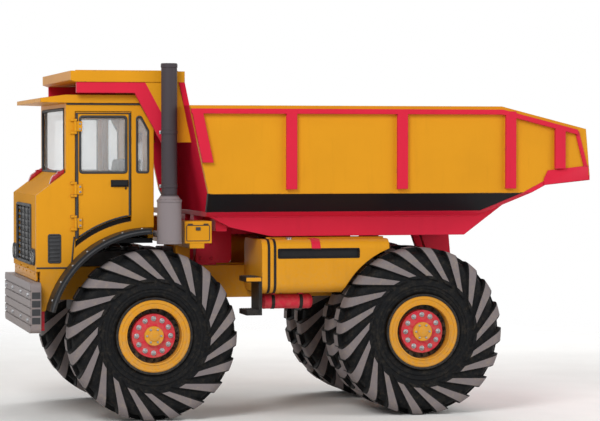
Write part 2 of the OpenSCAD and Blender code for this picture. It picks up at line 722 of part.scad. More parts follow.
// Rib table: place along the truck, foot, top
rib_table = [
  for (i = [0:2]) [rib_from + i * rib_pitch, rib_foot, rib_top],
  [tail_rib_x, rib_foot + 240, side_top(tail_rib_x + rib_w) - lip_h - 20]];
module bed_ribs() color(red) both() {
  slab(bed_half + seat_gap, bed_half + rib_t) {
    for (r = rib_table) translate([r[0], r[1]]) square([rib_w, r[2] - r[1]]);
    // Front post along the leaning front plate
    polygon([
      [bed_x(bed_top_z - lip_h), bed_top_z - lip_h], [bed_x(bed_top_z - lip_h) + rib_w, bed_top_z - lip_h],
      [bed_x(post_foot) + rib_w, post_foot], [bed_x(post_foot), post_foot]]);
    // Band under the top edge, falling with it at the tail
    band_end = side_end_x - 120;
    polygon([
      [bed_x(bed_top_z - lip_h), bed_top_z - lip_h], [side_drop_x, bed_top_z - lip_h],
      [band_end, side_top(band_end) - lip_h], [band_end, side_top(band_end) - lip_h - rail_band],
      [side_drop_x, bed_top_z - lip_h - rail_band], [bed_x(bed_top_z - lip_h), bed_top_z - lip_h - rail_band]]);
  }
  // Gusset between the canopy and the front plate
  slab(canopy_half - gusset_t - 10, canopy_half - 10) polygon([
    [canopy_x + 70, canopy_z - seat_gap], [canopy_x + 70, canopy_z - gusset_h],
    [bed_front_x - 590, canopy_z - gusset_h], [bed_front_x - 270, gusset_foot],
    [bed_x(gusset_foot) - seat_gap, gusset_foot], [bed_x(canopy_z) - 2 * seat_gap, canopy_z - seat_gap]]);
}
module bed_bolsters() color(red) {
  top = bed_z - seat_gap;
  difference() {
    union() {
      both() slab(floor_half - bolster_w, floor_half) polygon([
        [bed_x(bed_z) + 40, top], [bed_x(bed_z) + 300, bolster_z + 110], [bed_x(bed_z) + 800, bolster_z],
        [tail_from - 175, bolster_z], [tail_from + 500, floor_z(tail_from + 500) - seat_gap],
        [tail_from, top]]);
      both() slab(beam_in, beam_out) polygon([
        [bed_x(bed_z) + 10, top], [bed_x(bed_z) + 10, bolster_z], [tail_from - 60, bolster_z], [tail_from - 20, top]]);
      // Legs that rest on the frame
      both() box(bed_x(bed_z) + 30, bed_x(bed_z) + 290, frame_in, frame_w / 2, rail_top + rest_gap, bolster_z + 1);
      // Outer cross beams, and inner ones clear of the hoist
      beam_from = bed_x(bed_z) + 140;
      beam_pitch = (hinge_x - 100 - beam_from) / (beam_n - 1);
      both() for (i = [0:beam_n - 1])
        translate([beam_from + i * beam_pitch, beam_out - 1, bolster_z + 60])
          cube([beam_w, floor_half - bolster_w - beam_out + 2, top - bolster_z - 60]);
      for (x = [beam_from, hoist_x - 500, hoist_x + 300])
        box(x, x + beam_w, -beam_in - 1, beam_in + 1, bolster_z + 60, top);
      both() slab(lug_in, lug_in + lug_t) {
        polygon([
          [hinge_x - 300, bolster_z + 10], [hinge_x + 80, bolster_z + 10], [hinge_x + lug_r, hinge_z],
          [hinge_x - lug_r, hinge_z]]);
        translate([hinge_x, hinge_z]) circle(r = lug_r);
      }
    }
    cross_rod(hinge_x, hinge_z, -frame_w, frame_w, hinge_d + 2 * pin_gap);
  }
}

// Hoist: two barrels on one pin, two rods with one cross-head
module on_hoist() translate([hoist_x, 0, hoist_z]) rotate([0, -hoist_tilt, 0]) children();
module hoist_barrels() color(black) on_hoist() difference() {
  both() translate([0, hoist_y, 0]) {
    rotate([90, 0, 0]) cylinder(d = hoist_eye_d, h = hoist_eye_d, center = true);
    translate([0, -hoist_eye_d / 2, -hoist_neck / 2]) cube([hoist_eye_d / 2 + 15, hoist_eye_d, hoist_neck]);
    translate([hoist_eye_d / 2 + 5, 0, 0]) rotate([0, 90, 0])
      cylinder(d = barrel_d, h = barrel_l - hoist_eye_d / 2 - 5);
  }
  translate([0, 200, 0]) rotate([90, 0, 0]) cylinder(d = hoist_pin_d + 2 * pin_gap, h = 400);
  both() translate([120, hoist_y, 0]) rotate([0, 90, 0]) cylinder(d = rod_d + 2 * pin_gap, h = barrel_l);
}
module hoist_rods() color(grey) on_hoist() {
  both() translate([140, hoist_y, 0]) rotate([0, 90, 0]) cylinder(d = rod_d, h = hoist_l - 140);
  translate([hoist_l, beam_in - rest_gap, 0]) rotate([90, 0, 0]) cylinder(d = 90, h = 2 * (beam_in - rest_gap));
}

frame();
front_axle();
rear_axle();
engine();
bumper();
bumper_brackets();
nose();
grille();
headlamps();
cab_side(true);  // cab_side_left
cab_side(false);  // cab_side_right
cab_front();
cab_rear();
cab_roof();
cab_floor();
cab_glass();
dashboard();
seats();
mudguards();
exhaust();
side_boxes();
side_tanks();
air_tank();
steps();
red_lamps();
door(true);  // door_left
door_glass(true);  // door_glass_left
door(false);  // door_right
door_glass(false);  // door_glass_right
knuckle(true);  // knuckle_left
knuckle(false);  // knuckle_right
front_tyre(true);  // tyre_front_left
on_side(true) rim(front_x, front_in, front_out);  // rim_front_left
on_side(true) disc(front_x, front_out, spindle_d);  // disc_front_left
front_tyre(false);  // tyre_front_right
rim(front_x, front_in, front_out);  // rim_front_right
disc(front_x, front_out, spindle_d);  // disc_front_right
rear_tyres(true);  // tyres_rear_left
on_side(true) rim(rear_x, rear_in, rear_out);  // rim_rear_left
on_side(true) disc(rear_x, rear_out, rear_spindle_d);  // disc_rear_left
rear_tyres(false);  // tyres_rear_right
rim(rear_x, rear_in, rear_out);  // rim_rear_right
disc(rear_x, rear_out, rear_spindle_d);  // disc_rear_right
bed_floor();
bed_chines();
bed_side(true);  // bed_side_left
bed_side(false);  // bed_side_right
bed_front();
bed_canopy();
bed_ribs();
bed_bolsters();
hoist_barrels();
hoist_rods();
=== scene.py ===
"""A rigid off-highway dump truck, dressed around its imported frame.

Metres, +Z up. The truck faces -X, and its left side faces -Y, towards the camera.
"""

import json
import math

import bmesh
import bpy
from mathutils import Matrix, Vector


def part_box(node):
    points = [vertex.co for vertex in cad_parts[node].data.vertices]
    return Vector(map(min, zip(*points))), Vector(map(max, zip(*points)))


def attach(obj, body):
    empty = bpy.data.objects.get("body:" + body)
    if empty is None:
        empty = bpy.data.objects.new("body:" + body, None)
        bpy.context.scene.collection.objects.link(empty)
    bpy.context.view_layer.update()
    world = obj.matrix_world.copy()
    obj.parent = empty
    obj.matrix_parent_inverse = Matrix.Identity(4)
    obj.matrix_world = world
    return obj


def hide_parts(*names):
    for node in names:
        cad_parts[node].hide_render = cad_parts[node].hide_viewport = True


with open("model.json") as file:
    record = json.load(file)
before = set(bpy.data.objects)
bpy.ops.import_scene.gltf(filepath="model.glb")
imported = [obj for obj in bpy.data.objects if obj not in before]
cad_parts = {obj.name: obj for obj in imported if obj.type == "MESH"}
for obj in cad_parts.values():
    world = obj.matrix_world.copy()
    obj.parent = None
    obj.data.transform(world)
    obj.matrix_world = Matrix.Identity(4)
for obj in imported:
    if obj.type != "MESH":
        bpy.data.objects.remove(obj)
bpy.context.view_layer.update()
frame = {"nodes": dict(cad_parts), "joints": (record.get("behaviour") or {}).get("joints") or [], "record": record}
nodes = frame["nodes"]
slot_of = {s["node"]: s["material_slot"] for s in frame["record"]["subparts"]}


# Colours, as they look under plain light
YELLOW = "#DB961B"
RED = "#D6243F"
BLACK = "#1E1F22"
GREY = "#857C7E"
# Dark grey of the stack above the muffler
STACK_GREY = "#443E42"
DUST = "#A8977C"
CHIP = "#4A3F38"
RUBBER = "#161719"
RUBBER_WORN = "#7C7475"


def linear(hex_colour):
    """An sRGB hex colour as linear RGBA."""
    out = []
    for i in (1, 3, 5):
        v = int(hex_colour[i:i + 2], 16) / 255
        out.append(v / 12.92 if v <= 0.04045 else ((v + 0.055) / 1.055) ** 2.4)
    return (*out, 1.0)


def toned(colour, factor, lift=0.0):
    """A linear colour made darker or paler."""
    return (*(min(1.0, factor * c + lift) for c in colour[:3]), 1.0)


class Shade:
    """One procedural material around a Principled shader, in the piece's own rest coordinates."""

    def __init__(self, name, **values):
        self.material = bpy.data.materials.new(name)
        self.material.use_nodes = True
        self.tree = self.material.node_tree
        self.bsdf = self.tree.nodes["Principled BSDF"]
        for key, value in values.items():
            self.bsdf.inputs[key.replace("_", " ")].default_value = value
        self.place = self.node("TexCoord").outputs["Object"]

    def node(self, kind, settings=None, inputs=None):
        made = self.tree.nodes.new("ShaderNode" + kind)
        for key, value in (settings or {}).items():
            setattr(made, key, value)
        for key, value in (inputs or {}).items():
            self.feed(made.inputs[key], value)
        return made

    def feed(self, socket, value):
        if isinstance(value, bpy.types.NodeSocket):
            self.tree.links.new(value, socket)
        else:
            socket.default_value = value

    def set(self, key, value):
        self.feed(self.bsdf.inputs[key], value)

    def stretch(self, scale):
        return self.node("VectorMath", {"operation": "MULTIPLY"}, {0: self.place, 1: scale}).outputs[0]

    def noise(self, scale, detail=4.0, rough=0.55, stretch=None):
        at = self.stretch(stretch) if stretch else self.place
        made = self.node("TexNoise", None, {
            "Vector": at, "Scale": scale, "Detail": detail, "Roughness": rough})
        return made.outputs["Fac"]

    def math(self, operation, a, b=0.0):
        return self.node("Math", {"operation": operation}, {0: a, 1: b}).outputs[0]

    def product(self, a, b):
        return self.math("MULTIPLY", a, b)

    def off_middle(self):
        """Distance from the truck's middle plane."""
        return self.math("ABSOLUTE", self.axis("Y"))

    def ramp(self, value, low, high, to_low=0.0, to_high=1.0):
        """value from low to high, smoothly, as to_low to to_high."""
        made = self.node("MapRange", {"interpolation_type": "SMOOTHSTEP"}, {
            "Value": value, "From Min": low, "From Max": high, "To Min": to_low, "To Max": to_high})
        return made.outputs["Result"]

    def mix(self, amount, a, b):
        return self.node("Mix", {"data_type": "RGBA"}, {0: amount, 6: a, 7: b}).outputs[2]

    def axis(self, name):
        return self.node("SeparateXYZ", None, {0: self.place}).outputs[name]

    def facing(self, axis):
        """How far the surface faces along an axis of the piece, from -1 to 1."""
        turned = self.node("TexCoord").outputs["Normal"]
        return self.node("SeparateXYZ", None, {0: turned}).outputs[axis]

    def soft_edges(self, radius):
        """A normal rounded over the piece's edges, and a mask that is 1 along them."""
        round_normal = self.node("Bevel", {"samples": 6}, {"Radius": radius}).outputs[0]
        flat = self.node("NewGeometry").outputs["Normal"]
        dot = self.node("VectorMath", {"operation": "DOT_PRODUCT"}, {0: round_normal, 1: flat})
        return round_normal, self.ramp(dot.outputs["Value"], 0.985, 0.86)

    def bump(self, height, strength, distance, normal=None):
        made = self.node("Bump", None, {
            "Height": height, "Strength": strength, "Distance": distance})
        if normal is not None:
            self.feed(made.inputs["Normal"], normal)
        self.set("Normal", made.outputs[0])


def paint(name, colour, rough=0.42, chips=0.75, dust=0.4, edge=0.012, overlay=None, gloss=0.14):
    """Enamel on plate: uneven tone, rain streaks, road dust low down and on top, chipped edges.

    overlay(shade, tone) paints a second colour over the first.
    """
    s = Shade(name, Specular_IOR_Level=gloss)
    base = linear(colour)
    deep = toned(base, 0.80)
    tone = s.mix(s.ramp(s.noise(1.1, 3.0), 0.35, 0.70, 0.0, 0.30), base, deep)
    streaks = s.ramp(s.noise(2.2, 5.0, 0.6, (4.0, 4.0, 0.45)), 0.52, 0.78, 0.0, 0.35)
    tone = s.mix(streaks, tone, deep)
    if overlay:
        tone = overlay(s, tone)
    speckle = s.noise(23.0, 6.0, 0.65)
    low = s.ramp(s.axis("Z"), 2.3, 0.7)
    top = s.product(s.ramp(s.facing("Z"), 0.55, 0.95), 0.55)
    cover = s.math("MAXIMUM", s.product(low, 0.75), top)
    dusty = s.product(cover, s.ramp(speckle, 0.36, 0.66, 0.15, 1.0))
    dusty = s.product(dusty, dust)
    tone = s.mix(dusty, tone, linear(DUST))
    normal, rim = s.soft_edges(edge)
    chipped = s.product(rim, s.ramp(s.noise(9.0, 8.0, 0.72), 0.50, 0.60, 0.0, chips))
    s.set("Base Color", s.mix(chipped, tone, linear(CHIP)))
    s.set("Roughness", s.ramp(s.math("ADD", dusty, s.product(chipped, 0.4)), 0.0, 0.6, rough, 0.75))
    s.bump(s.noise(160.0, 3.0), 0.06, 0.002, normal)
    return s.material


def bare_metal(name, colour, rough, metallic, edge=0.008):
    """Rolled or cast metal: mottled, faintly scratched along the length."""
    s = Shade(name, Metallic=metallic)
    base = linear(colour)
    s.set("Base Color", s.mix(s.ramp(s.noise(6.0, 8.0, 0.7), 0.40, 0.72, 0.0, 0.75), base, toned(base, 0.55)))
    scratch = s.noise(30.0, 6.0, 0.7, (0.2, 3.0, 3.0))
    s.set("Roughness", s.ramp(scratch, 0.3, 0.7, rough, min(1.0, rough + 0.25)))
    normal, _ = s.soft_edges(edge)
    s.bump(scratch, 0.12, 0.003, normal)
    return s.material


def rubber(name, colour, dust):
    s = Shade(name, Specular_IOR_Level=0.10)
    base = linear(colour)
    powder = s.product(s.ramp(s.noise(16.0, 8.0, 0.75), 0.46, 0.74), dust)
    s.set("Base Color", s.mix(powder, base, linear(DUST)))
    s.set("Roughness", s.ramp(powder, 0.0, 0.6, 0.62, 0.9))
    normal, _ = s.soft_edges(0.012)
    s.bump(s.noise(70.0, 6.0, 0.7), 0.25, 0.004, normal)
    return s.material


def window_glass(name):
    # Painted reflection: the white base colour, with transmission below full, gives the windows a white share that
    # stands for the reflected white surround; the noise varies that white a little.
    s = Shade(name, Roughness=0.03, IOR=1.45, Transmission_Weight=0.82, Specular_IOR_Level=0.6)
    smear_and_painted_reflection = s.ramp(s.noise(2.5, 5.0, 0.6, (1.0, 1.0, 0.4)), 0.35, 0.75)
    s.set("Base Color", s.mix(smear_and_painted_reflection, linear("#FFFFFF"), linear("#F0F4F5")))
    return s.material


def lens(name, colour, clear):
    s = Shade(name, Roughness=0.08, IOR=1.49, Transmission_Weight=clear)
    base = linear(colour)
    s.set("Base Color", s.mix(s.ramp(s.noise(40.0, 2.0), 0.4, 0.7), base, toned(base, 0.72)))
    flutes = s.node("TexWave", {"bands_direction": "Y"}, {"Vector": s.place, "Scale": 22.0})
    s.bump(flutes.outputs["Fac"], 0.35, 0.004)
    return s.material


def plastic(name, colour, rough=0.55):
    s = Shade(name)
    base = linear(colour)
    s.set("Base Color", s.mix(s.ramp(s.noise(5.0, 6.0), 0.45, 0.75, 0.0, 0.5), base, toned(base, 1.5, 0.01)))
    s.set("Roughness", s.ramp(s.noise(12.0, 4.0), 0.3, 0.7, rough, min(1.0, rough + 0.2)))
    normal, _ = s.soft_edges(0.006)
    s.bump(s.noise(420.0, 2.0), 0.2, 0.001, normal)
    return s.material


def leather(name, colour):
    s = Shade(name, Sheen_Weight=0.15)
    base = linear(colour)
    s.set("Base Color", s.mix(s.ramp(s.noise(8.0, 6.0), 0.5, 0.8, 0.0, 0.6), base, toned(base, 2.2, 0.01)))
    grain = s.node("TexVoronoi", None, {"Vector": s.place, "Scale": 260.0}).outputs["Distance"]
    s.set("Roughness", s.ramp(grain, 0.0, 0.6, 0.62, 0.45))
    s.bump(grain, 0.35, 0.0015)
    return s.material


finish = {
    "yellow_paint": paint("yellow_paint", YELLOW),
    "red_paint": paint("red_paint", RED),
    "black_paint": paint("black_paint", BLACK, chips=0.4, dust=0.12),
    "grey_paint": paint("grey_paint", GREY, rough=0.45),
    "cast": bare_metal("cast", "#5A5A5C", 0.55, 0.6),
    "rod_steel": bare_metal("rod_steel", "#C8C9CC", 0.12, 1.0),
    "tyre": rubber("tyre", RUBBER, 0.07),
    "glass": window_glass("glass"),
    "lamp_clear": lens("lamp_clear", "#F3F2EC", 0.55),
    "lamp_red": lens("lamp_red", "#C8182B", 0.25),
    "trim": plastic("trim", "#2B2C2F"),
    "seat": leather("seat", "#2A2827"),
}
zinc = bare_metal("zinc", "#A9AAAD", 0.32, 0.9)
worn_rubber = rubber("worn_rubber", RUBBER_WORN, 0.35)
worn_steel = bare_metal("worn_steel", "#8B8885", 0.38, 0.85)


# Places that the overlays below share with the shapes, in metres
DISH_R = 0.2645
MUFFLER_H = 0.530
WORN_FROM_Z = 3.75
WORN_DOWN_TO_Z = 2.80
GUSSET_BAND = 0.170
GUSSET_NORMAL = (0.879, 0.477)


def wheel_dish_painted_shade(s, tone):
    """Painted shade: black inside the dish, between the wheel disc's raised face and the rim, where the recess
    lies in shade.
    """
    distances = []
    for node in ("rim_front_left", "rim_rear_left"):
        low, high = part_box(node)
        hub = ((low[0] + high[0]) / 2, 0.0, (low[2] + high[2]) / 2)
        offset = s.node("VectorMath", {"operation": "SUBTRACT"}, {0: s.stretch((1, 0, 1)), 1: hub})
        length = s.node("VectorMath", {"operation": "LENGTH"}, {0: offset.outputs[0]})
        distances.append(length.outputs["Value"])
    r = s.math("MINIMUM", *distances)
    return s.mix(s.ramp(r, DISH_R - 0.001, DISH_R + 0.001), tone, linear(BLACK))


def scuffed(s, tone, where, share=1.0):
    """Bare steel in long scuffs, as tipping leaves them."""
    scuffs = s.ramp(s.noise(3.0, 8.0, 0.7, (0.25, 2.0, 1.0)), 0.40, 0.58, 0.0, share)
    return s.mix(s.product(where, scuffs), tone, linear("#7D7A77"))


def floor_underside(s, tone):
    """Red on the bed floor's edges and underside, and worn in the middle of its top."""
    upper = s.ramp(s.facing("Z"), 0.5, 0.6)
    lane = s.ramp(s.off_middle(), 1.25, 0.9)
    return scuffed(s, s.mix(upper, linear(RED), tone), s.product(lane, upper))


def side_inside(s, tone):
    """The bed sides' inner faces are worn towards the floor."""
    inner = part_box("bed_front")[1][1]
    inside = s.ramp(s.off_middle(), inner + 0.012, inner + 0.004)
    return scuffed(s, tone, s.product(inside, s.ramp(s.axis("Z"), WORN_FROM_Z, WORN_DOWN_TO_Z)), 0.8)


def chine_inside(s, tone):
    """Yellow and worn on the chine plates' inner faces; the black left on their outer faces is painted shade under
    the bed's sides.
    """
    inside = s.ramp(s.facing("Z"), 0.05, 0.10)
    return scuffed(s, s.mix(inside, tone, linear(YELLOW)), inside)


def front_inside(s, tone):
    """Yellow and worn on the bed front's inner face."""
    inside = s.ramp(s.facing("X"), 0.55, 0.65)
    worn = s.product(inside, s.ramp(s.axis("Z"), WORN_FROM_Z, WORN_DOWN_TO_Z))
    return scuffed(s, s.mix(inside, tone, linear(YELLOW)), worn, 0.8)


def lip_painted_shade(s, tone):
    """Painted shade: black on the lip behind the door's foot, inboard of the cab's side, where the wheel arch is
    in shade.
    """
    inner = 0.001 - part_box("cab_front")[0][1]
    return s.mix(s.ramp(s.off_middle(), inner, inner - 0.002), tone, linear(BLACK))


def darker_stack(s, tone):
    """Darker grey on the stack, above the muffler."""
    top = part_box("exhaust")[0][2] + MUFFLER_H
    return s.mix(s.ramp(s.axis("Z"), top + 0.03, top + 0.05), tone, linear(STACK_GREY))


def gusset_band(s, tone):
    """Yellow on the canopy's gussets behind a red band along their slanting edge."""
    edge_x, edge_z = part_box("bed_side_left")[0][0] - 0.590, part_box("bed_canopy")[0][2] - 0.130
    back = s.product(s.math("SUBTRACT", s.axis("X"), edge_x), GUSSET_NORMAL[0])
    up = s.product(s.math("SUBTRACT", s.axis("Z"), edge_z), GUSSET_NORMAL[1])
    behind = s.ramp(s.math("ADD", back, up), GUSSET_BAND - 0.002, GUSSET_BAND + 0.002)
    inboard = s.ramp(s.off_middle(), 1.35, 1.34)
    return s.mix(s.product(behind, inboard), tone, linear(YELLOW))


special = {
    "bed_floor": paint("bed_floor_paint", YELLOW, overlay=floor_underside),
    # The cab sides carry painted shade: black on the lip inside the wheel arch.
    "cab_side_left": paint("cab_side_paint", YELLOW, overlay=lip_painted_shade),
    "exhaust": paint("exhaust_paint", GREY, rough=0.5, overlay=darker_stack),
    "bed_ribs": paint("bed_ribs_paint", RED, overlay=gusset_band),
    "bed_front": paint("bed_front_paint", RED, rough=0.75, gloss=0.0, overlay=front_inside),
    # Painted shade: the chines' outer faces are black, for the shade under the bed's sides.
    "bed_chines": paint("bed_chines_painted_shade", BLACK, chips=0.4, dust=0.12, overlay=chine_inside, gloss=0.05),
    "bed_side_left": paint("bed_side_paint", YELLOW, overlay=side_inside),
    "nose": paint("nose_paint", YELLOW, rough=0.6, dust=0.15, gloss=0.03),
    "engine": finish["cast"],
}
special["cab_side_right"] = special["cab_side_left"]
special["bed_side_right"] = special["bed_side_left"]
# The wheel discs carry painted shade: black in the dish's recess.
wheel_red = paint("wheel_red", RED, overlay=wheel_dish_painted_shade)
for name, node in nodes.items():
    if name.startswith("disc_"):
        special[name] = wheel_red
    node.data.materials.clear()
    node.data.materials.append(special.get(name, finish[slot_of[name]]))


# Mesh kit
def piece(name, bm, slot, materials=None, body="chassis", smooth=32.0, replaces=()):
    """A new mesh that rides on a body, in its slot's finish unless other materials are given.

    Edges where faces meet at more than smooth degrees stay sharp.
    """
    bmesh.ops.recalc_face_normals(bm, faces=bm.faces)
    mesh = bpy.data.meshes.new(name)
    bm.to_mesh(mesh)
    bm.free()
    mesh.shade_smooth()
    mesh.set_sharp_from_angle(angle=math.radians(smooth))
    made = bpy.data.objects.new(name, mesh)
    bpy.context.scene.collection.objects.link(made)
    for material in materials or [finish[slot]]:
        mesh.materials.append(material)
    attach(made, body)
    if replaces:
        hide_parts(*replaces)
    return made


def block(bm, low, high, edge=0.004):
    """A box with rounded edges."""
    low, high = Vector(low), Vector(high)
    made = bmesh.ops.create_cube(bm, size=1.0)["verts"]
    size = high - low
    bmesh.ops.scale(bm, vec=size, verts=made)
    bmesh.ops.translate(bm, vec=(low + high) / 2, verts=made)
    edges = {e for v in made for e in v.link_edges}
    offset = min(edge, 0.45 * min(size))
    bmesh.ops.bevel(bm, geom=list(edges), offset=offset, segments=2, affect="EDGES", profile=0.5)


def skin(bm, rings, closed=False):
    """Faces between rings of points. A ring of one point closes an end."""
    sides = max(len(ring) for ring in rings)
    for low, high in list(zip(rings, rings[1:])) + ([(rings[-1], rings[0])] if closed else []):
        for i in range(sides):
            j = (i + 1) % sides
            corners = [low[i % len(low)], low[j % len(low)], high[j % len(high)], high[i % len(high)]]
            corners = list(dict.fromkeys(corners))
            if len(corners) > 2:
                bm.faces.new(corners)


def lathe(bm, profile, centre, axis, sides=48, closed=False):
    """(radius, height) points turned about an axis through centre. A radius of 0 closes an end."""
    turn = Vector(axis).to_track_quat("Z", "Y").to_matrix()
    rings = []
    for r, h in profile:
        ring = []
        for i in range(sides if r else 1):
            a = math.tau * i / sides
            ring.append(bm.verts.new(Vector(centre) + turn @ Vector((r * math.cos(a), r * math.sin(a), h))))
        rings.append(ring)
    skin(bm, rings, closed)


def rod(bm, start, end, r, edge=0.003, sides=24):
    """A round bar with chamfered ends."""
    start, end = Vector(start), Vector(end)
    length = (end - start).length
    edge = min(edge, 0.4 * r, 0.4 * length)
    lathe(bm, [(0, 0), (r - edge, 0), (r, edge), (r, length - edge), (r - edge, length), (0, length)],
          start, end - start, sides)


def sweep(bm, path, r, closed=False, sides=10):
    """A round bead or hose along a path."""
    path = [Vector(p) for p in path]
    count = len(path)
    rings = []
    for i, at in enumerate(path):
        before = path[i - 1] if closed or i else at
        after = path[(i + 1) % count] if closed or i < count - 1 else at
        along = (after - before).normalized()
        side = (side - side.dot(along) * along if rings else along.orthogonal()).normalized()
        other = along.cross(side)
        bend = 1.0
        if closed or 0 < i < count - 1:
            bend = 1.0 / max(0.5, math.cos((after - at).angle(at - before) / 2))
        ring = []
        for k in range(sides):
            a = math.tau * k / sides
            ring.append(bm.verts.new(at + r * bend * (math.cos(a) * side + math.sin(a) * other)))
        rings.append(ring)
    skin(bm, rings, closed)
    if not closed:
        bm.faces.new(rings[0])
        bm.faces.new(rings[-1])


def button(bm, at, axis, r, h, edge=0.004, sides=36, sink=0.002):
    """A flat round boss with a chamfered face, sunk a little into what carries it."""
    lathe(bm, [(0, -sink), (r, -sink), (r, h - edge), (r - edge, h), (0, h)], at, axis, sides)


def band(bm, at, axis, r, width, thick, edge=0.002, sides=40):
    """A flat ring round a bar of radius r."""
    half = width / 2
    low, high = r - 0.002, r + thick
    profile = [(low, -half), (high, edge - half), (high, half - edge), (low, half)]
    lathe(bm, profile, at, axis, sides, closed=True)


def bolt(bm, at, axis, r, h=None):
    """A hexagon head on a washer."""
    h = h or 0.7 * r
    washer, wide = 0.2 * r, 1.35 * r
    lathe(bm, [(0, -0.002), (wide, -0.002), (wide, washer), (0, washer)], at, axis, 20)
    lathe(bm, [(0, 0), (r, 0), (r, washer + 0.85 * h), (0.86 * r, washer + h), (0, washer + h)], at, axis, 6)


def bolts(bm, places, axis, r):
    for place in places:
        bolt(bm, place, axis, r)


def ring_of(count, r, centre, axis, start=0.0):
    """Points round a circle."""
    turn = Vector(axis).to_track_quat("Z", "Y").to_matrix()
    out = []
    for i in range(count):
        a = start + math.tau * i / count
        out.append(Vector(centre) + turn @ Vector((r * math.cos(a), r * math.sin(a), 0)))
    return out


def bolted_cap(bm, at, axis, cap, circle, nipple):
    """A round cap (radius, height) with a circle (radius, head) of six bolts and a grease nipple."""
    button(bm, at, axis, *cap)
    bolts(bm, ring_of(6, circle[0], Vector(at) + cap[1] * Vector(axis), axis), axis, circle[1])
    button(bm, at, axis, *nipple)


def rectangle(a0, a1, b0, b1):
    """The corners of an outline with four straight sides."""
    return [(a0, b0), (a1, b0), (a1, b1), (a0, b1)]


def plate(bm, outline, y0, y1, edge=0.0):
    """A plate cut to an outline in the X-Z plane, from y0 to y1."""
    near, far = ([bm.verts.new((x, y, z)) for x, z in outline] for y in (y0, y1))
    made = [bm.faces.new(near), bm.faces.new(far)]
    count = len(outline)
    for i in range(count):
        j = (i + 1) % count
        made.append(bm.faces.new([near[i], near[j], far[j], far[i]]))
    if edge:
        edges = list({e for f in made for e in f.edges})
        bmesh.ops.bevel(bm, geom=edges, offset=edge, segments=2, affect="EDGES", profile=0.5)


def rounded_path(points, r, steps=4):
    """A closed path whose corners are arcs of radius r."""
    points = [Vector(p) for p in points]
    out = []
    for i, at in enumerate(points):
        to_last = (points[i - 1] - at).normalized()
        to_next = (points[(i + 1) % len(points)] - at).normalized()
        half = to_last.angle(to_next) / 2
        centre = at + (to_last + to_next).normalized() * (r / math.sin(half))
        start = (at + to_last * (r / math.tan(half)) - centre).normalized()
        end = (at + to_next * (r / math.tan(half)) - centre).normalized()
        for k in range(steps + 1):
            out.append(centre + r * start.slerp(end, k / steps))
    return out


def side_bead(bm, outline, y, corner_r, r):
    """A closed bead along an outline in the X-Z plane, with rounded corners."""
    sweep(bm, rounded_path([(x, y, z) for x, z in outline], corner_r), r, closed=True)


def front_bead(bm, outline, x, corner_r, r):
    """A closed bead along an outline in the Y-Z plane, with rounded corners."""
    sweep(bm, rounded_path([(x, y, z) for y, z in outline], corner_r), r, closed=True)


def arc_path(centre, r, start, end, y, steps):
    """Points on an arc in the X-Z plane. Angles in degrees, from +X towards +Z."""
    out = []
    for k in range(steps + 1):
        a = math.radians(start + (end - start) * k / steps)
        out.append(Vector((centre[0] + r * math.cos(a), y, centre[1] + r * math.sin(a))))
    return out


SIDES = {"left": -1, "right": 1}


# Tyres: the CAD tyre's lugs, with chamfered edges, a ribbed sidewall and a bead
LUG_COUNT = 20
LUG_ROOT_R = 0.615
LUG_SWEEP = math.radians(34)
LUG_HALF = 0.27
LUG_LAP = 0.025
LUG_CHAMFER = 0.012
LUG_EDGE_RISE = 0.82
# The worn face of a lug: half its share of the pitch, and the radius from which it shows
WORN_HALF = 0.205
WORN_R = 0.685
TYRE_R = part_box("tyre_front_left")[1][2] / 2
TYRE_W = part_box("tyre_front_left")[1][1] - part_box("tyre_front_left")[0][1]
TREAD_DEPTH = 0.055
SIDE_DEPTH = 0.028
BEAD_R = 0.4453
SHOULDER = 0.110


def lug_turn(r):
    """How far round a lug's edge has swept at radius r: the edge is a straight line seen along the axle."""
    if r <= LUG_ROOT_R:
        return 0.0
    tip = (TYRE_R + 0.020) * Vector((math.cos(LUG_SWEEP), math.sin(LUG_SWEEP)))
    along = (tip - Vector((LUG_ROOT_R, 0))).normalized()
    t = -LUG_ROOT_R * along.x + math.sqrt(r * r - (LUG_ROOT_R * along.y) ** 2)
    return math.atan2(t * along.y, LUG_ROOT_R + t * along.x)


def tyre_stations():
    """Half a tyre's section, bead to middle: (groove point, lug point, lug weight), points as (radius, y)."""
    half = TYRE_W / 2
    low = half - SIDE_DEPTH
    out = []
    for a in (180, 150, 120, 95):
        at = (BEAD_R + 0.06 + 0.06 * math.cos(math.radians(a)), low - 0.06 + 0.06 * math.sin(math.radians(a)))
        out.append((at, at, 0.0))
    for r, rise in ((0.520, 0.0), (0.524, 0.007), (0.534, 0.007), (0.538, 0.0), (0.556, 0.0), (0.562, 0.010),
                    (0.590, 0.012), (0.596, 0.002), (0.626, 0.0)):
        at = (r, low + rise)
        out.append((at, at, 0.0))
    groove_side = TYRE_R - TREAD_DEPTH - SHOULDER
    lug_side = TYRE_R - SHOULDER
    root = 0.635
    for t in (0.0, 0.05, (WORN_R - root) / (lug_side - root), 0.5, 0.9):
        weight = 0.0 if t == 0.0 else 1.0
        out.append(((root + t * (groove_side - root), low), (root + t * (lug_side - root), half), weight))
    for a in (0, 20, 45, 70, 90):
        c, n = SHOULDER * math.cos(math.radians(a)), SHOULDER * math.sin(math.radians(a))
        out.append(((groove_side + n, low - SHOULDER + c), (lug_side + n, half - SHOULDER + c), 1.0))
    for y in (0.085, 0.050, LUG_LAP + 0.003, LUG_LAP - 0.003, 0.0):
        out.append(((TYRE_R - TREAD_DEPTH, y), (TYRE_R, y), 1.0))
    return out


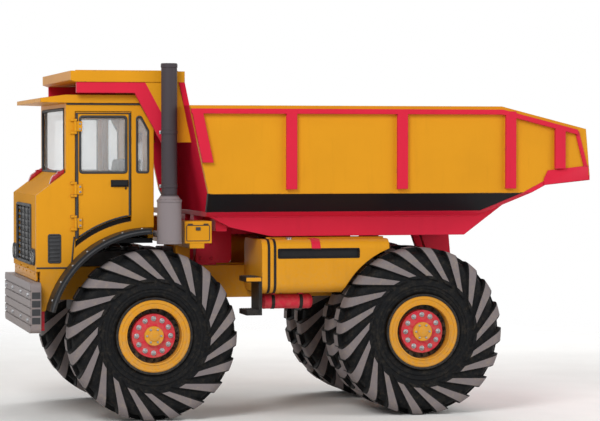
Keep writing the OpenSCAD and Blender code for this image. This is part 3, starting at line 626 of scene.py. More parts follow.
def tyre_mesh(bm, x, y, z, outward):
    """One tyre about an axle along Y. outward is the sign of y towards the wheel's outer face."""
    inner, outer = LUG_HALF - LUG_CHAMFER / 2, LUG_HALF + LUG_CHAMFER / 2
    phases = (0, 0.10, WORN_HALF, 0.5 - outer, 0.5 - inner, 0.25, inner, outer, 0.5 - WORN_HALF, 0.40)
    columns = [i / 2 + p for i in range(2 * LUG_COUNT) for p in phases]
    half = tyre_stations()
    section = [(s, 1) for s in half] + [(s, -1) for s in reversed(half[:-1])]

    def lug_height(phase, side, station):
        """The point's height on its lug, and whether it lies on the worn face."""
        groove, lug, weight = station
        place = phase if side > 0 else phase - 0.5
        away = abs(place - round(place))
        if groove[1] < LUG_LAP:
            away = min(away, 0.5 - away)
        worn = away < WORN_HALF + 0.001 and lug[0] > WORN_R - 0.001
        if away < LUG_HALF - LUG_CHAMFER:
            return weight, worn
        return LUG_EDGE_RISE * weight if away < LUG_HALF else 0.0, False

    grid = []
    for phase in columns:
        column = []
        for station, side in section:
            h, worn = lug_height(phase, side, station)
            groove, lug, _ = station
            r = groove[0] + h * (lug[0] - groove[0])
            across = side * (groove[1] + h * (lug[1] - groove[1]))
            turn = -phase * math.tau / LUG_COUNT + lug_turn(r)
            vert = bm.verts.new((x + r * math.cos(turn), y + outward * across, z + r * math.sin(turn)))
            column.append((vert, worn))
        grid.append(column)
    count = len(section)
    for c, column in enumerate(grid):
        after = grid[(c + 1) % len(grid)]
        for k in range(count):
            n = (k + 1) % count
            corners = (column[k], column[n], after[n], after[k])
            face = bm.faces.new([v for v, _ in corners])
            face.material_index = 1 if all(worn for _, worn in corners) else 0


# Wheels
def wheel_place(wheel):
    """Axle x and z, the outer face's y, and the sign of y outwards."""
    low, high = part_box("rim_" + wheel)
    out = SIDES[wheel.split("_")[1]]
    return (low[0] + high[0]) / 2, (low[2] + high[2]) / 2, high[1] if out > 0 else low[1], out


def make_tyre(wheel):
    """One tyre in front, two behind, in place of the CAD ones."""
    x, z, _, out = wheel_place(wheel)
    node = ("tyre_" if "front" in wheel else "tyres_") + wheel
    low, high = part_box(node)
    middles = {low[1] + TYRE_W / 2, high[1] - TYRE_W / 2} if "rear" in wheel else {(low[1] + high[1]) / 2}
    bm = bmesh.new()
    for y in sorted(middles):
        tyre_mesh(bm, x, y, z, out)
    piece("lugged_" + node, bm, "tyre", [finish["tyre"], worn_rubber], "wheel_" + wheel, 35.0, [node])


# How far a wheel's faces lie behind the rim's outer edge
DISC_FACE = 0.070
DISH_FACE = 0.150
CAP_FACE = 0.0197


def make_wheel_detail(wheel):
    """Nuts, rings of the rim and the hub cap's dome, the valve and the dish's bolts."""
    x, z, face, out = wheel_place(wheel)
    axis = (0, out, 0)
    body = "wheel_" + wheel

    def at(inset):
        return (x, face - out * inset, z)

    bm = bmesh.new()
    for place in ring_of(12, 0.205, at(DISC_FACE), axis):
        bolt(bm, place, axis, 0.023)
        lathe(bm, [(0, 0.0), (0.011, 0.0), (0.011, 0.036), (0.008, 0.040), (0, 0.040)], place, axis, 12)
    bolts(bm, ring_of(6, 0.085, at(CAP_FACE), axis), axis, 0.010)
    piece("wheel_nuts_" + wheel, bm, "rod_steel", [zinc], body=body)

    bm = bmesh.new()
    lock_ring = [(0.390, -0.004), (0.392, 0.004), (0.424, 0.005), (0.428, -0.004)]
    inner_lip = [(0.329, -0.010), (0.329, 0.004), (0.334, 0.008), (0.346, 0.008), (0.350, -0.004)]
    for profile in (lock_ring, inner_lip):
        lathe(bm, profile, at(0), axis, 96, closed=True)
    hub_dome = [(0, -0.002), (0.068, -0.002), (0.066, 0.004), (0.050, 0.011), (0.026, 0.0145), (0, 0.0155)]
    lathe(bm, hub_dome, at(CAP_FACE), axis, 48)
    piece("rim_rings_" + wheel, bm, "yellow_paint", body=body)

    bm = bmesh.new()
    valve = Vector((x, 0, z)) + 0.298 * Vector((math.cos(0.6), 0, math.sin(0.6)))
    valve.y = face - out * DISH_FACE
    tip = valve + Vector((0, out * 0.085, 0))
    rod(bm, valve, tip, 0.007, sides=12)
    rod(bm, tip, tip + Vector((0, out * 0.022, 0)), 0.010, sides=12)
    bolts(bm, ring_of(20, 0.300, at(DISH_FACE), axis, 0.08), axis, 0.012)
    flange = [(0.430, -0.030), (0.452, -0.030), (0.461, -0.016), (0.462, 0.000),
              (0.456, 0.008), (0.446, 0.009), (0.433, 0.004), (0.430, -0.004)]
    lathe(bm, flange, at(0), axis, 96, closed=True)
    piece("wheel_bolts_" + wheel, bm, "black_paint", body=body)


for wheel in ("front_left", "front_right", "rear_left", "rear_right"):
    make_tyre(wheel)
    make_wheel_detail(wheel)


# Places read from the frame
def corners_of(node):
    """The low and the high corner of a node's box."""
    low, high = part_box(node)
    return Vector(low), Vector(high)


def low_of(node):
    return corners_of(node)[0]


def high_of(node):
    return corners_of(node)[1]


joint_at = {j["name"]: Vector(j["pos_m"]) for j in frame["joints"] if j["type"] == "hinge"}
SEAM = 0.0003
GLASS_INSET = 0.024
DOOR_MARGIN = 0.062
DOOR_GAP = 0.008
PILLAR = 0.066
DOOR_GLASS_LOW, DOOR_GLASS_HIGH = corners_of("door_glass_right")
CAB_FACE = DOOR_GLASS_HIGH.y + GLASS_INSET
CAB_FRONT = low_of("cab_front").x
CAB_REAR = high_of("cab_rear").x
SILL_Z = DOOR_GLASS_LOW.z - SEAM
WINDOW_TOP = DOOR_GLASS_HIGH.z + SEAM
WINDOW_X0 = DOOR_GLASS_LOW.x - SEAM
WINDOW_X1 = DOOR_GLASS_HIGH.x + SEAM
DOOR_X0 = WINDOW_X0 - DOOR_MARGIN
DOOR_X1 = WINDOW_X1 + DOOR_MARGIN
DOOR_TOP = WINDOW_TOP + DOOR_MARGIN
ROOF_Z = high_of("cab_front").z + SEAM
ROOF_CUT_RUN = 0.150
ROOF_CUT_DROP = 0.248
NOSE_X, _, NOSE_Z = low_of("nose")
HUB_X, HUB_Z, _, _ = wheel_place("front_left")
REAR_X = wheel_place("rear_left")[0]
DOOR_FOOT_R = math.hypot(DOOR_X0 + DOOR_GAP - HUB_X, low_of("door_right").z - HUB_Z)
CAB_FLOOR_Z = low_of("cab_floor").z
HINGE_ZS = [CAB_FLOOR_Z + z for z in (0.190, 0.590, 1.340)]
BED_HALF = high_of("bed_floor").y
RAIL_W = 0.150
RAIL_FACE = high_of("engine").y + SEAM + RAIL_W


# Cab trim
def make_window_seals(side):
    y = SIDES[side] * (CAB_FACE - 0.004)
    bm = bmesh.new()
    side_bead(bm, rectangle(WINDOW_X0, WINDOW_X1, SILL_Z, WINDOW_TOP), y, 0.03, 0.016)
    piece("door_window_seal_" + side, bm, "trim", body="door_" + side)

    bm = bmesh.new()
    x0, x1 = DOOR_X1 + PILLAR, CAB_REAR - PILLAR
    outline = [(x0, SILL_Z), (x1, SILL_Z), (x1, WINDOW_TOP - 0.168),
               (x1 - 0.09, WINDOW_TOP), (x0, WINDOW_TOP)]
    side_bead(bm, outline, y, 0.025, 0.014)
    piece("quarter_window_seal_" + side, bm, "trim")


def make_screen_seals():
    bm = bmesh.new()
    for x, half, top in ((CAB_FRONT + 0.004, 1.0, ROOF_Z - 0.07), (CAB_REAR - 0.004, 0.7, SILL_Z + 0.48)):
        front_bead(bm, rectangle(-half, half, SILL_Z, top), x, 0.04, 0.018)
    piece("screen_seals", bm, "trim")


def make_door_trim(side):
    """A seal round the door's edge, its handle and lock, and the bolts on its hinges."""
    s = SIDES[side]
    inset = DOOR_GAP + 0.014
    y = s * (CAB_FACE + 0.001)
    r = DOOR_FOOT_R + 0.014
    x0, x1 = DOOR_X0 + inset, DOOR_X1 - inset
    start, end = (math.degrees(math.acos((x - HUB_X) / r)) for x in (x0, x1))
    path = arc_path((HUB_X, HUB_Z), r, start, end, y, 16)
    path += [(x1, y, DOOR_TOP - inset), (x0, y, DOOR_TOP - inset)]
    bm = bmesh.new()
    sweep(bm, path, 0.011, closed=True)
    piece("door_edge_trim_" + side, bm, "trim", body="door_" + side)

    bm = bmesh.new()
    grip_x, grip_z = DOOR_X1 - 0.145, SILL_Z - 0.130
    block(bm, (grip_x - 0.105, y, grip_z - 0.042), (grip_x + 0.105, y + s * 0.006, grip_z + 0.042), 0.003)
    block(bm, (grip_x - 0.090, y, grip_z - 0.026), (grip_x + 0.090, y + s * 0.034, grip_z + 0.026), 0.010)
    button(bm, (grip_x + 0.075, y, grip_z - 0.060), (0, s, 0), 0.013, 0.008, 0.001, 20)
    piece("door_handle_" + side, bm, "black_paint", body="door_" + side)

    bm = bmesh.new()
    heights = [z + dz for z in HINGE_ZS for dz in (0.028, 0.092)]
    bolts(bm, [(DOOR_X0 + 0.060, s * (CAB_FACE + 0.020), z) for z in heights], (0, s, 0), 0.010)
    piece("hinge_bolts_" + side, bm, "rod_steel", [zinc], body="door_" + side)


def make_nose_sides(side):
    """Panel joint under the nose and a louvred vent above it."""
    s = SIDES[side]
    y = s * CAB_FACE
    joint_z = NOSE_Z + 0.045
    bm = bmesh.new()
    sweep(bm, [(NOSE_X + 0.004, y, joint_z), (NOSE_X + 0.42, y, joint_z),
               (DOOR_X0 - 0.012, y, low_of("door_right").z + 0.05)], 0.010)
    piece("nose_joint_" + side, bm, "trim")

    bm = bmesh.new()
    x0, x1, z0, z1 = NOSE_X + 0.150, NOSE_X + 0.290, NOSE_Z + 0.110, NOSE_Z + 0.440
    side_bead(bm, rectangle(x0, x1, z0, z1), y, 0.018, 0.011)
    block(bm, (x0, y - s * 0.002, z0), (x1, y + s * 0.002, z1), 0.001)
    for i in range(7):
        z = z0 + (z1 - z0) * (i + 0.5) / 7
        plate(bm, rectangle(x0 + 0.008, x1 - 0.008, z - 0.012, z + 0.006), y, y + s * 0.012, 0.003)
    piece("nose_vent_" + side, bm, "trim")


def make_roof_gutter(side):
    """A gutter along the roof's edge, which turns down the rear corner's slope."""
    y = SIDES[side] * (CAB_FACE + 0.006)
    z = ROOF_Z - 0.012
    end_z = z - 0.16 * ROOF_CUT_DROP / ROOF_CUT_RUN
    bm = bmesh.new()
    sweep(bm, [(CAB_FRONT + 0.01, y, z), (CAB_REAR - 0.165, y, z), (CAB_REAR - 0.004, y, end_z)], 0.011)
    piece("roof_gutter_" + side, bm, "trim")


make_screen_seals()
for side in SIDES:
    make_window_seals(side)
    make_door_trim(side)
    make_nose_sides(side)
    make_roof_gutter(side)


# Front end
GRILLE_LOW, GRILLE_HIGH = corners_of("grille")
LAMPS_LOW, LAMPS_HIGH = corners_of("headlamps")
LAMP_R = (LAMPS_HIGH.z - LAMPS_LOW.z) / 2
LAMP_Z = (LAMPS_HIGH.z + LAMPS_LOW.z) / 2
LAMP_STEP = 0.190
LAMP_YS = [s * (LAMPS_HIGH.y - LAMP_R - step) for s in (-1, 1) for step in (0.0, LAMP_STEP)]


def make_grille_surround():
    bm = bmesh.new()
    z0, z1 = GRILLE_LOW.z, GRILLE_HIGH.z
    front_bead(bm, rectangle(GRILLE_LOW.y, GRILLE_HIGH.y, z0, z1), NOSE_X - 0.002, 0.03, 0.018)
    for y in (-0.35, 0.0, 0.35):
        block(bm, (NOSE_X - 0.004, y - 0.012, z0), (NOSE_X + 0.012, y + 0.012, z1), 0.004)
    piece("grille_surround", bm, "trim")


def make_lamp_bezels():
    inner, outer = LAMP_R + 0.001, LAMP_R + 0.018
    profile = [(inner, -0.004), (inner, 0.020), (LAMP_R + 0.006, 0.024),
               (LAMP_R + 0.013, 0.020), (outer, 0.004), (outer, -0.004)]
    bm = bmesh.new()
    for y in LAMP_YS:
        lathe(bm, profile, (NOSE_X, y, LAMP_Z), (-1, 0, 0), 48, closed=True)
    piece("lamp_bezels", bm, "trim")


def make_bumper_detail():
    """Bolts on two of the bumper's six bars, and pads on the ends of the four in the middle."""
    low, high = corners_of("bumper")
    bar_h = (high.z - low.z) / 6
    bm = bmesh.new()
    places = [(low.x + 0.001, y, low.z + bar_h * (bar + 0.5))
              for y in (-1.12, -0.42, 0.42, 1.12) for bar in (1, 4)]
    bolts(bm, places, (-1, 0, 0), 0.022)
    piece("bumper_bolts", bm, "rod_steel", [zinc])

    bm = bmesh.new()
    for s in (-1, 1):
        end = s * high.y
        for bar in range(1, 5):
            z = low.z + bar_h * bar + 0.012
            block(bm, (low.x + 0.020, end - s * 0.004, z),
                  (high.x - 0.012, end + s * 0.004, z + bar_h - 0.024), 0.003)
    piece("bumper_end_pads", bm, "trim")


def make_hood_joint():
    """Bead where the nose meets the cab."""
    bm = bmesh.new()
    x, half = CAB_FRONT - 0.006, high_of("nose").y - 0.01
    sweep(bm, [(x, -half, SILL_Z + 0.004), (x, half, SILL_Z + 0.004)], 0.010)
    piece("hood_joint", bm, "trim")


def make_apron():
    """Panel that closes the nose's foot down to the bumper's top, with a folded lower edge."""
    half = high_of("nose").y
    low = high_of("bumper").z + 0.004
    bm = bmesh.new()
    block(bm, (NOSE_X + 0.008, -half, low), (NOSE_X + 0.026, half, NOSE_Z + 0.004), 0.004)
    block(bm, (NOSE_X + 0.004, -half, low), (NOSE_X + 0.030, half, low + 0.022), 0.006)
    places = [(NOSE_X + 0.008, y, NOSE_Z - 0.03) for y in (-0.95, -0.55, -0.18, 0.18, 0.55, 0.95)]
    bolts(bm, places, (-1, 0, 0), 0.010)
    piece("nose_apron", bm, "yellow_paint")


COWL_LAMP_L = 0.185
HOOD_RISE = 0.270


def hood_top(x):
    """Height of the hood's upper face."""
    return SILL_Z - (CAB_FRONT - x) * HOOD_RISE / (CAB_FRONT - NOSE_X)


def make_cowl_lamps():
    """Red lenses on the hood at the windscreen's foot, over the plain lamps."""
    back, front = CAB_FRONT - 0.008, CAB_FRONT - COWL_LAMP_L
    outline = [(front, hood_top(front) + 0.001), (front + 0.035, hood_top(front) + 0.095),
               (back, SILL_Z + 0.045), (back, hood_top(back) + 0.001)]
    y_out = high_of("nose").y
    bm = bmesh.new()
    for s in (-1, 1):
        plate(bm, outline, s * (y_out - 0.115), s * (y_out - 0.008), 0.010)
    piece("cowl_lamps", bm, "lamp_red")


make_grille_surround()
make_lamp_bezels()
make_apron()
make_cowl_lamps()
make_bumper_detail()
make_hood_joint()


# Side equipment
STACK_R = 0.095
MUFFLER_R = 0.145
_, exhaust_y, MUFFLER_LOW = low_of("exhaust")
exhaust_x, _, STACK_TOP = high_of("exhaust")
STACK_X = exhaust_x - MUFFLER_R
STACK_Y = exhaust_y + MUFFLER_R
MUFFLER_TOP = MUFFLER_LOW + MUFFLER_H
STACK_CLAMPS = (MUFFLER_TOP + 0.16, MUFFLER_TOP + 0.80)


def make_exhaust_detail():
    """Bands and a cone on the muffler and the stack, with clamps and the brackets' bolts."""
    up = (0, 0, 1)
    bm = bmesh.new()
    for z in (MUFFLER_TOP - 0.016, MUFFLER_LOW + 0.016):
        band(bm, (STACK_X, STACK_Y, z), up, MUFFLER_R, 0.029, 0.006, sides=48)
    pipe = STACK_R + 0.001
    cone = [(MUFFLER_R - 0.004, -0.002), (MUFFLER_R - 0.020, 0.020), (STACK_R + 0.012, 0.046), (pipe, 0.060),
            (pipe, -0.002)]
    lathe(bm, cone, (STACK_X, STACK_Y, MUFFLER_TOP), up, 48, closed=True)
    for z in (*STACK_CLAMPS, STACK_TOP - 0.03):
        band(bm, (STACK_X, STACK_Y, z), up, STACK_R, 0.044, 0.005, sides=48)
    piece("exhaust_bands", bm, "grey_paint", [special["exhaust"]])

    bm = bmesh.new()
    for z in STACK_CLAMPS:
        place = Vector((STACK_X - STACK_R - 0.004, STACK_Y, z))
        block(bm, place - Vector((0.022, 0.010, 0.020)), place + Vector((0.004, 0.010, 0.020)), 0.003)
        rod(bm, place + Vector((-0.012, -0.024, 0)), place + Vector((-0.012, 0.024, 0)), 0.006, sides=12)
    places = [(CAB_REAR + 0.040, -CAB_FACE - dy, MUFFLER_LOW + dz)
              for dz in (0.12, 0.40) for dy in (0.04, 0.12)]
    bolts(bm, places, (1, 0, 0), 0.010)
    piece("exhaust_clamps", bm, "rod_steel", [zinc])


BOX_LOW, BOX_HIGH = corners_of("side_boxes")


def make_box_lids():
    """Lid joints on the side boxes, each with a latch and two hinges."""
    x0, x1, z = BOX_LOW.x, BOX_HIGH.x, BOX_HIGH.z - 0.05
    middle = (x0 + x1) / 2
    bm = bmesh.new()
    for s in (-1, 1):
        y = s * BOX_HIGH.y
        side_bead(bm, rectangle(x0 + 0.025, x1 - 0.025, BOX_LOW.z + 0.03, z), y, 0.015, 0.005)
        block(bm, (middle - 0.028, y - s * 0.002, z - 0.060),
              (middle + 0.028, y + s * 0.012, z - 0.022), 0.004)
        for x in (x0 + 0.07, x1 - 0.07):
            hinge = Vector((x, y + s * 0.006, z + 0.014))
            rod(bm, hinge - Vector((0.03, 0, 0)), hinge + Vector((0.03, 0, 0)), 0.007, sides=12)
    piece("box_lids", bm, "trim")


TANK_LOW, TANK_HIGH = corners_of("side_tanks")
TANK_ROUND = 0.120
SLOT_X0 = TANK_LOW.x + 0.200
SLOT_X1 = TANK_HIGH.x - 0.380
SLOT_Z0 = TANK_LOW.z + 0.425
SLOT_Z1 = SLOT_Z0 + 0.110
SLOT_DEPTH = 0.030
TANK_LIP_Y = 1.190


def tank_section(grow):
    """Right half of a strap's path round a tank: up its outer side and over its top, grown outwards."""
    y_in, y_out = RAIL_FACE + 0.02, TANK_HIGH.y
    out = [(y_in, TANK_LOW.z - grow)]
    r = TANK_ROUND
    for centre_z, first in ((TANK_LOW.z + r, -90), (TANK_HIGH.z - r, 0)):
        for k in range(7):
            a = math.radians(first + 15 * k)
            out.append((y_out - r + (r + grow) * math.cos(a), centre_z + (r + grow) * math.sin(a)))
    out.append((y_in, TANK_HIGH.z + grow))
    return out


def strap(bm, s, x0, x1, first=0):
    """A flat band round three sides of a tank, from its section's first point on."""
    inner, outer = tank_section(-0.002)[first:], tank_section(0.006)[first:]
    rows = []
    for x, line in ((x0, inner), (x0, outer), (x1, outer), (x1, inner)):
        rows.append([bm.verts.new((x, s * y, z)) for y, z in line])
    for row, after in zip(rows, rows[1:] + rows[:1]):
        for k in range(len(row) - 1):
            bm.faces.new([row[k], row[k + 1], after[k + 1], after[k]])
    for k in (0, -1):
        bm.faces.new([row[k] for row in rows])


def make_tank_detail():
    """Bands, the slot's edge, lips, brackets, filler caps and drains on the side tanks."""
    bm = bmesh.new()
    for s in (-1, 1):
        for x in (TANK_LOW.x + 0.07, TANK_LOW.x + 0.145):
            strap(bm, s, x, x + 0.03)
        # Painted shade: a black plate at the back of the slot darkens its recess.
        back = rectangle(SLOT_X0 + 0.002, SLOT_X1 - 0.002, SLOT_Z0 + 0.002, SLOT_Z1 - 0.002)
        plate(bm, back, s * (TANK_HIGH.y - SLOT_DEPTH - 0.001), s * (TANK_HIGH.y - SLOT_DEPTH + 0.004))
        side_bead(bm, rectangle(SLOT_X0, SLOT_X1, SLOT_Z0, SLOT_Z1), s * TANK_HIGH.y, 0.012, 0.007)
    piece("tank_bands", bm, "black_paint")

    bm = bmesh.new()
    for s in (-1, 1):
        y = s * TANK_LIP_Y
        block(bm, (TANK_LOW.x + 0.10, y - 0.03, TANK_HIGH.z - 0.002),
              (TANK_HIGH.x - 0.02, y + 0.03, TANK_HIGH.z + 0.024), 0.006)
    piece("tank_lips", bm, "yellow_paint")

    bm = bmesh.new()
    top_half = 8
    for s in (-1, 1):
        strap(bm, s, TANK_LOW.x + 0.615, TANK_LOW.x + 0.725, top_half)
        bolt(bm, (TANK_LOW.x + 0.670, s * (TANK_HIGH.y - 0.13), TANK_HIGH.z + 0.005), (0, 0, 1), 0.012)
    piece("tank_brackets", bm, "red_paint")

    bm = bmesh.new()
    filler = [(0, -0.010), (0.038, -0.010), (0.038, 0.008), (0.032, 0.010), (0.032, 0.016), (0.041, 0.017),
              (0.042, 0.022), (0.030, 0.026), (0, 0.026)]
    for s in (-1, 1):
        lathe(bm, filler, (TANK_LOW.x + 0.36, s * (TANK_HIGH.y - 0.125), TANK_HIGH.z - 0.003), (0, 0, 1), 40)
        drain = (TANK_LOW.x + 0.30, s * (TANK_HIGH.y - 0.30), TANK_LOW.z)
        lathe(bm, [(0, -0.002), (0.022, -0.002), (0.022, 0.006), (0, 0.006)], drain, (0, 0, -1), 24)
        bolt(bm, drain, (0, 0, -1), 0.012, 0.016)
    piece("tank_caps", bm, "rod_steel", [zinc])


STEP_LOW, STEP_HIGH = corners_of("steps")


def make_step_detail():
    """Ribs across the steps, and a bright edge on the upper one."""
    bm = bmesh.new()
    x1 = STEP_HIGH.x - 0.045
    for s in (-1, 1):
        y0, y1 = s * (STEP_HIGH.y - 0.40), s * (STEP_HIGH.y - 0.015)
        for top in (STEP_LOW.z + 0.060, STEP_HIGH.z):
            for i in range(5):
                x = STEP_LOW.x + 0.018 + (x1 - STEP_LOW.x - 0.03) * i / 4
                block(bm, (x - 0.005, min(y0, y1), top - 0.001), (x + 0.005, max(y0, y1), top + 0.006), 0.002)
    piece("step_treads", bm, "cast")

    bm = bmesh.new()
    for s in (-1, 1):
        y, z = s * STEP_HIGH.y, STEP_HIGH.z
        block(bm, (STEP_LOW.x - 0.004, y - s * 0.004, z - 0.050),
              (x1 + 0.035, y + s * 0.008, z - 0.004), 0.004)
    piece("step_edges", bm, "yellow_paint")


AIR_LOW, AIR_HIGH = corners_of("air_tank")
AIR_R = 0.090


def make_air_tank_detail():
    """Domed ends, bands and a drain tap on the air tank."""
    middle = (AIR_LOW + AIR_HIGH) / 2
    y, z = middle.y, AIR_LOW.z + AIR_R
    dome = [(0, -0.004), (AIR_R - 0.001, -0.004), (AIR_R - 0.003, 0.008),
            (AIR_R * 0.80, 0.026), (AIR_R * 0.45, 0.037), (0, 0.041)]
    bm = bmesh.new()
    lathe(bm, dome, (AIR_LOW.x, y, z), (-1, 0, 0), 40)
    lathe(bm, dome, (AIR_HIGH.x, y, z), (1, 0, 0), 40)
    for x in (AIR_LOW.x + 0.012, AIR_HIGH.x - 0.012):
        band(bm, (x, y, z), (1, 0, 0), AIR_R, 0.016, 0.003)
    piece("air_tank_ends", bm, "red_paint")

    bm = bmesh.new()
    for share in (0.2, 0.8):
        x = AIR_LOW.x + share * (AIR_HIGH.x - AIR_LOW.x)
        band(bm, (x, y, z), (1, 0, 0), AIR_R, 0.044, 0.004)
    for r, h in ((0.014, 0.012), (0.009, 0.030)):
        button(bm, (middle.x, y, AIR_LOW.z), (0, 0, -1), r, h, 0.002, 16)
    piece("air_tank_straps", bm, "black_paint")


make_exhaust_detail()
make_box_lids()
make_tank_detail()
make_step_detail()
make_air_tank_detail()


# Chassis
MUD_HIGH = high_of("mudguards")
ARCH_R = MUD_HIGH.z - HUB_Z
MUD_T = 0.070
FLAP_INNER = 0.960
FLAP_OUTER = 1.262
KINGPIN_Y = 0.930
RAIL_LOW_Z = low_of("frame").z
RAIL_H = 0.400
TOW_L = 0.140
REAR_PLATE_X = high_of("frame").x - TOW_L
HINGE = joint_at["bed_tilt"]
HOIST_FOOT = joint_at["hoist_swing"]
HOIST_Y = 0.080
HOIST_HEAD = Vector((REAR_X, 0.0, low_of("bed_floor").z - 0.074))


def make_mudguard_edges(side):
    """A rolled rubber edge on the mudguard's outer side, held by bolts."""
    s = SIDES[side]
    end = 180 - math.degrees(math.asin((low_of("mudguards").z - HUB_Z) / (ARCH_R - MUD_T)))
    bm = bmesh.new()
    sweep(bm, arc_path((HUB_X, HUB_Z), ARCH_R - MUD_T / 2, 92.0, end, s * (MUD_HIGH.y - 0.001), 40), 0.012)
    piece("mudguard_edge_" + side, bm, "trim")

    bm = bmesh.new()
    for i in range(7):
        a = math.radians(96 + (end - 102) * i / 6)
        out = Vector((math.cos(a), 0, math.sin(a)))
        place = Vector((HUB_X, s * (MUD_HIGH.y - 0.06), HUB_Z)) + ARCH_R * out
        bolt(bm, place - 0.001 * out, out, 0.012)
    piece("mudguard_bolts_" + side, bm, "rod_steel", [zinc])


def make_arch_flaps():
    """Rubber flaps that carry the wheel arch on behind the mudguards, inside the exhaust."""
    bm = bmesh.new()
    r0, r1 = ARCH_R - MUD_T + 0.002, ARCH_R - MUD_T + 0.014
    arcs = [(r0, 74.0, 91.5), (r1, 91.5, 74.0)]
    outline = [(p.x, p.z) for r, a, b in arcs for p in arc_path((HUB_X, HUB_Z), r, a, b, 0.0, 10)]
    for s in (-1, 1):
        plate(bm, outline, s * FLAP_INNER, s * FLAP_OUTER)
    piece("arch_flaps", bm, "trim")


STRUT_Y = RAIL_FACE - 0.075
STRUT_R = 0.070


def make_strut_gaiters():
    """Rubber bellows round the struts between the axles and the frame."""
    bm = bmesh.new()
    top = RAIL_LOW_Z - 0.004
    folds = 7
    for x, low in ((HUB_X, HUB_Z + 0.102), (REAR_X, HUB_Z + 0.172)):
        profile = [(STRUT_R - 0.002, 0.0), (STRUT_R + 0.020, 0.0)]
        length = top - low
        for i in range(folds):
            profile.append((STRUT_R + 0.034, length * (i + 0.5) / folds))
            profile.append((STRUT_R + 0.012, length * (i + 1.0) / folds))
        profile += [(STRUT_R - 0.002, length)]
        for s in (-1, 1):
            lathe(bm, profile, (x, s * STRUT_Y, low), (0, 0, 1), 36, closed=True)
    piece("strut_gaiters", bm, "trim", smooth=50.0)


def make_frame_bolts():
    """Bolt groups on the rails where the cross-members are, and on the rear plate."""
    members = (HUB_X - 1.19, HUB_X + 0.76, REAR_X - 0.24)
    rail = [(x + dx, RAIL_LOW_Z + dz) for x in members for dx in (-0.035, 0.035) for dz in (0.08, 0.24)]
    rear = [(dy, RAIL_LOW_Z + dz) for dy in (0.10, 0.19) for dz in (0.03, 0.11)]
    bm = bmesh.new()
    for s in (-1, 1):
        bolts(bm, [(x, s * RAIL_FACE, z) for x, z in rail], (0, s, 0), 0.014)
        bolts(bm, [(REAR_PLATE_X, s * y, z) for y, z in rear], (1, 0, 0), 0.012)
    piece("frame_bolts", bm, "rod_steel", [zinc])


def make_hinge_caps():
    """Keeper plates on the ends of the bed's hinge pin."""
    bm = bmesh.new()
    for s in (-1, 1):
        bolted_cap(bm, (HINGE.x, s * RAIL_FACE, HINGE.z), (0, s, 0), (0.088, 0.016), (0.064, 0.011),
                   (0.012, 0.028, 0.004, 16))
    piece("hinge_caps", bm, "cast")


def make_axle_detail():
    """Bolted covers on the rear axle's housing, and grease points on the kingpins."""
    half = 0.150
    cover = [(0.172, -0.004), (0.300, -0.004), (0.300, 0.014), (0.285, 0.020), (0.200, 0.026), (0.172, 0.026)]
    bm = bmesh.new()
    for s in (-1, 1):
        lathe(bm, cover, (REAR_X, s * half, HUB_Z), (0, s, 0), 48, closed=True)
        bolts(bm, ring_of(18, 0.270, (REAR_X, s * (half + 0.018), HUB_Z), (0, s, 0)), (0, s, 0), 0.012)
    button(bm, (REAR_X + 0.302, 0, HUB_Z - 0.06), (1, 0, 0), 0.024, 0.014, 0.003, 24, 0.010)
    piece("axle_covers", bm, "cast")
    for side, s in SIDES.items():
        low, high = corners_of("knuckle_" + side)
        bm = bmesh.new()
        for z, up in ((high.z, 1), (low.z, -1)):
            bolted_cap(bm, (HUB_X, s * KINGPIN_Y, z), (0, 0, up), (0.078, 0.014), (0.058, 0.008),
                       (0.007, 0.032, 0.001, 12))
        piece("kingpin_caps_" + side, bm, "cast", body="knuckle_" + side)


def make_engine_detail():
    """Sump ribs and bolts, and rocker covers, on the engine block."""
    low, high = corners_of("engine")
    bm = bmesh.new()
    count = 6

    def station(i, total):
        return low.x + (high.x - low.x) * (i + 0.5) / total

    for i in range(count):
        x = station(i, count)
        block(bm, (x - 0.075, low.y + 0.05, high.z - 0.002),
              (x + 0.075, high.y - 0.05, high.z + 0.045), 0.014)
        block(bm, (x - 0.012, low.y + 0.02, low.z - 0.018), (x + 0.012, high.y - 0.02, low.z + 0.002), 0.004)
    for y in (low.y * 0.62, high.y * 0.62):
        bolts(bm, [(station(i, 2 * count), y, low.z) for i in range(2 * count)], (0, 0, -1), 0.010)
    piece("engine_detail", bm, "cast")


def make_hoist_detail():
    """Gland nuts and bands on the barrels."""
    foot = Vector((HOIST_FOOT.x, 0, HOIST_FOOT.z))
    along = (HOIST_HEAD - foot).normalized()
    length = (HOIST_HEAD - foot).length
    nut = [(0.0415, -0.060), (0.072, -0.060), (0.072, -0.012),
           (0.066, 0.004), (0.050, 0.008), (0.0415, 0.008)]
    bm = bmesh.new()
    for s in (-1, 1):
        start = foot + Vector((0, s * HOIST_Y, 0))
        lathe(bm, nut, start + along * (length - 0.220), along, 36, closed=True)
        for share in (0.18, 0.45, 0.72):
            band(bm, start + along * (length * share), along, 0.062, 0.028, 0.005, 0.004, 36)
    piece("hoist_glands", bm, "cast", body="hoist_barrels")


for side in SIDES:
    make_mudguard_edges(side)
make_arch_flaps()
make_strut_gaiters()
make_frame_bolts()
make_hinge_caps()
make_axle_detail()
make_engine_detail()
make_hoist_detail()


# Bed
BED_Z = low_of("bed_floor").z
BED_TOP = high_of("bed_side_left").z
TAIL_X = high_of("bed_floor").x
BED_FRONT_X = low_of("bed_side_left").x
FLOOR_T = 0.060
LIP_X = TAIL_X - 0.575
TAIL_FROM = REAR_X + 0.800
TAIL_TOP = high_of("bed_floor").z
LIP_TOP = TAIL_TOP - 0.060
CHINE_TOP = high_of("bed_chines").z
SIDE_DROP_X = TAIL_X - 1.135
SIDE_END = (TAIL_X - 0.050, BED_TOP - 0.272)
RIB_W = 0.130
RIB_XS = [BED_FRONT_X + 1.160 + 1.372 * i for i in range(3)]
BED_LEAN = 0.21


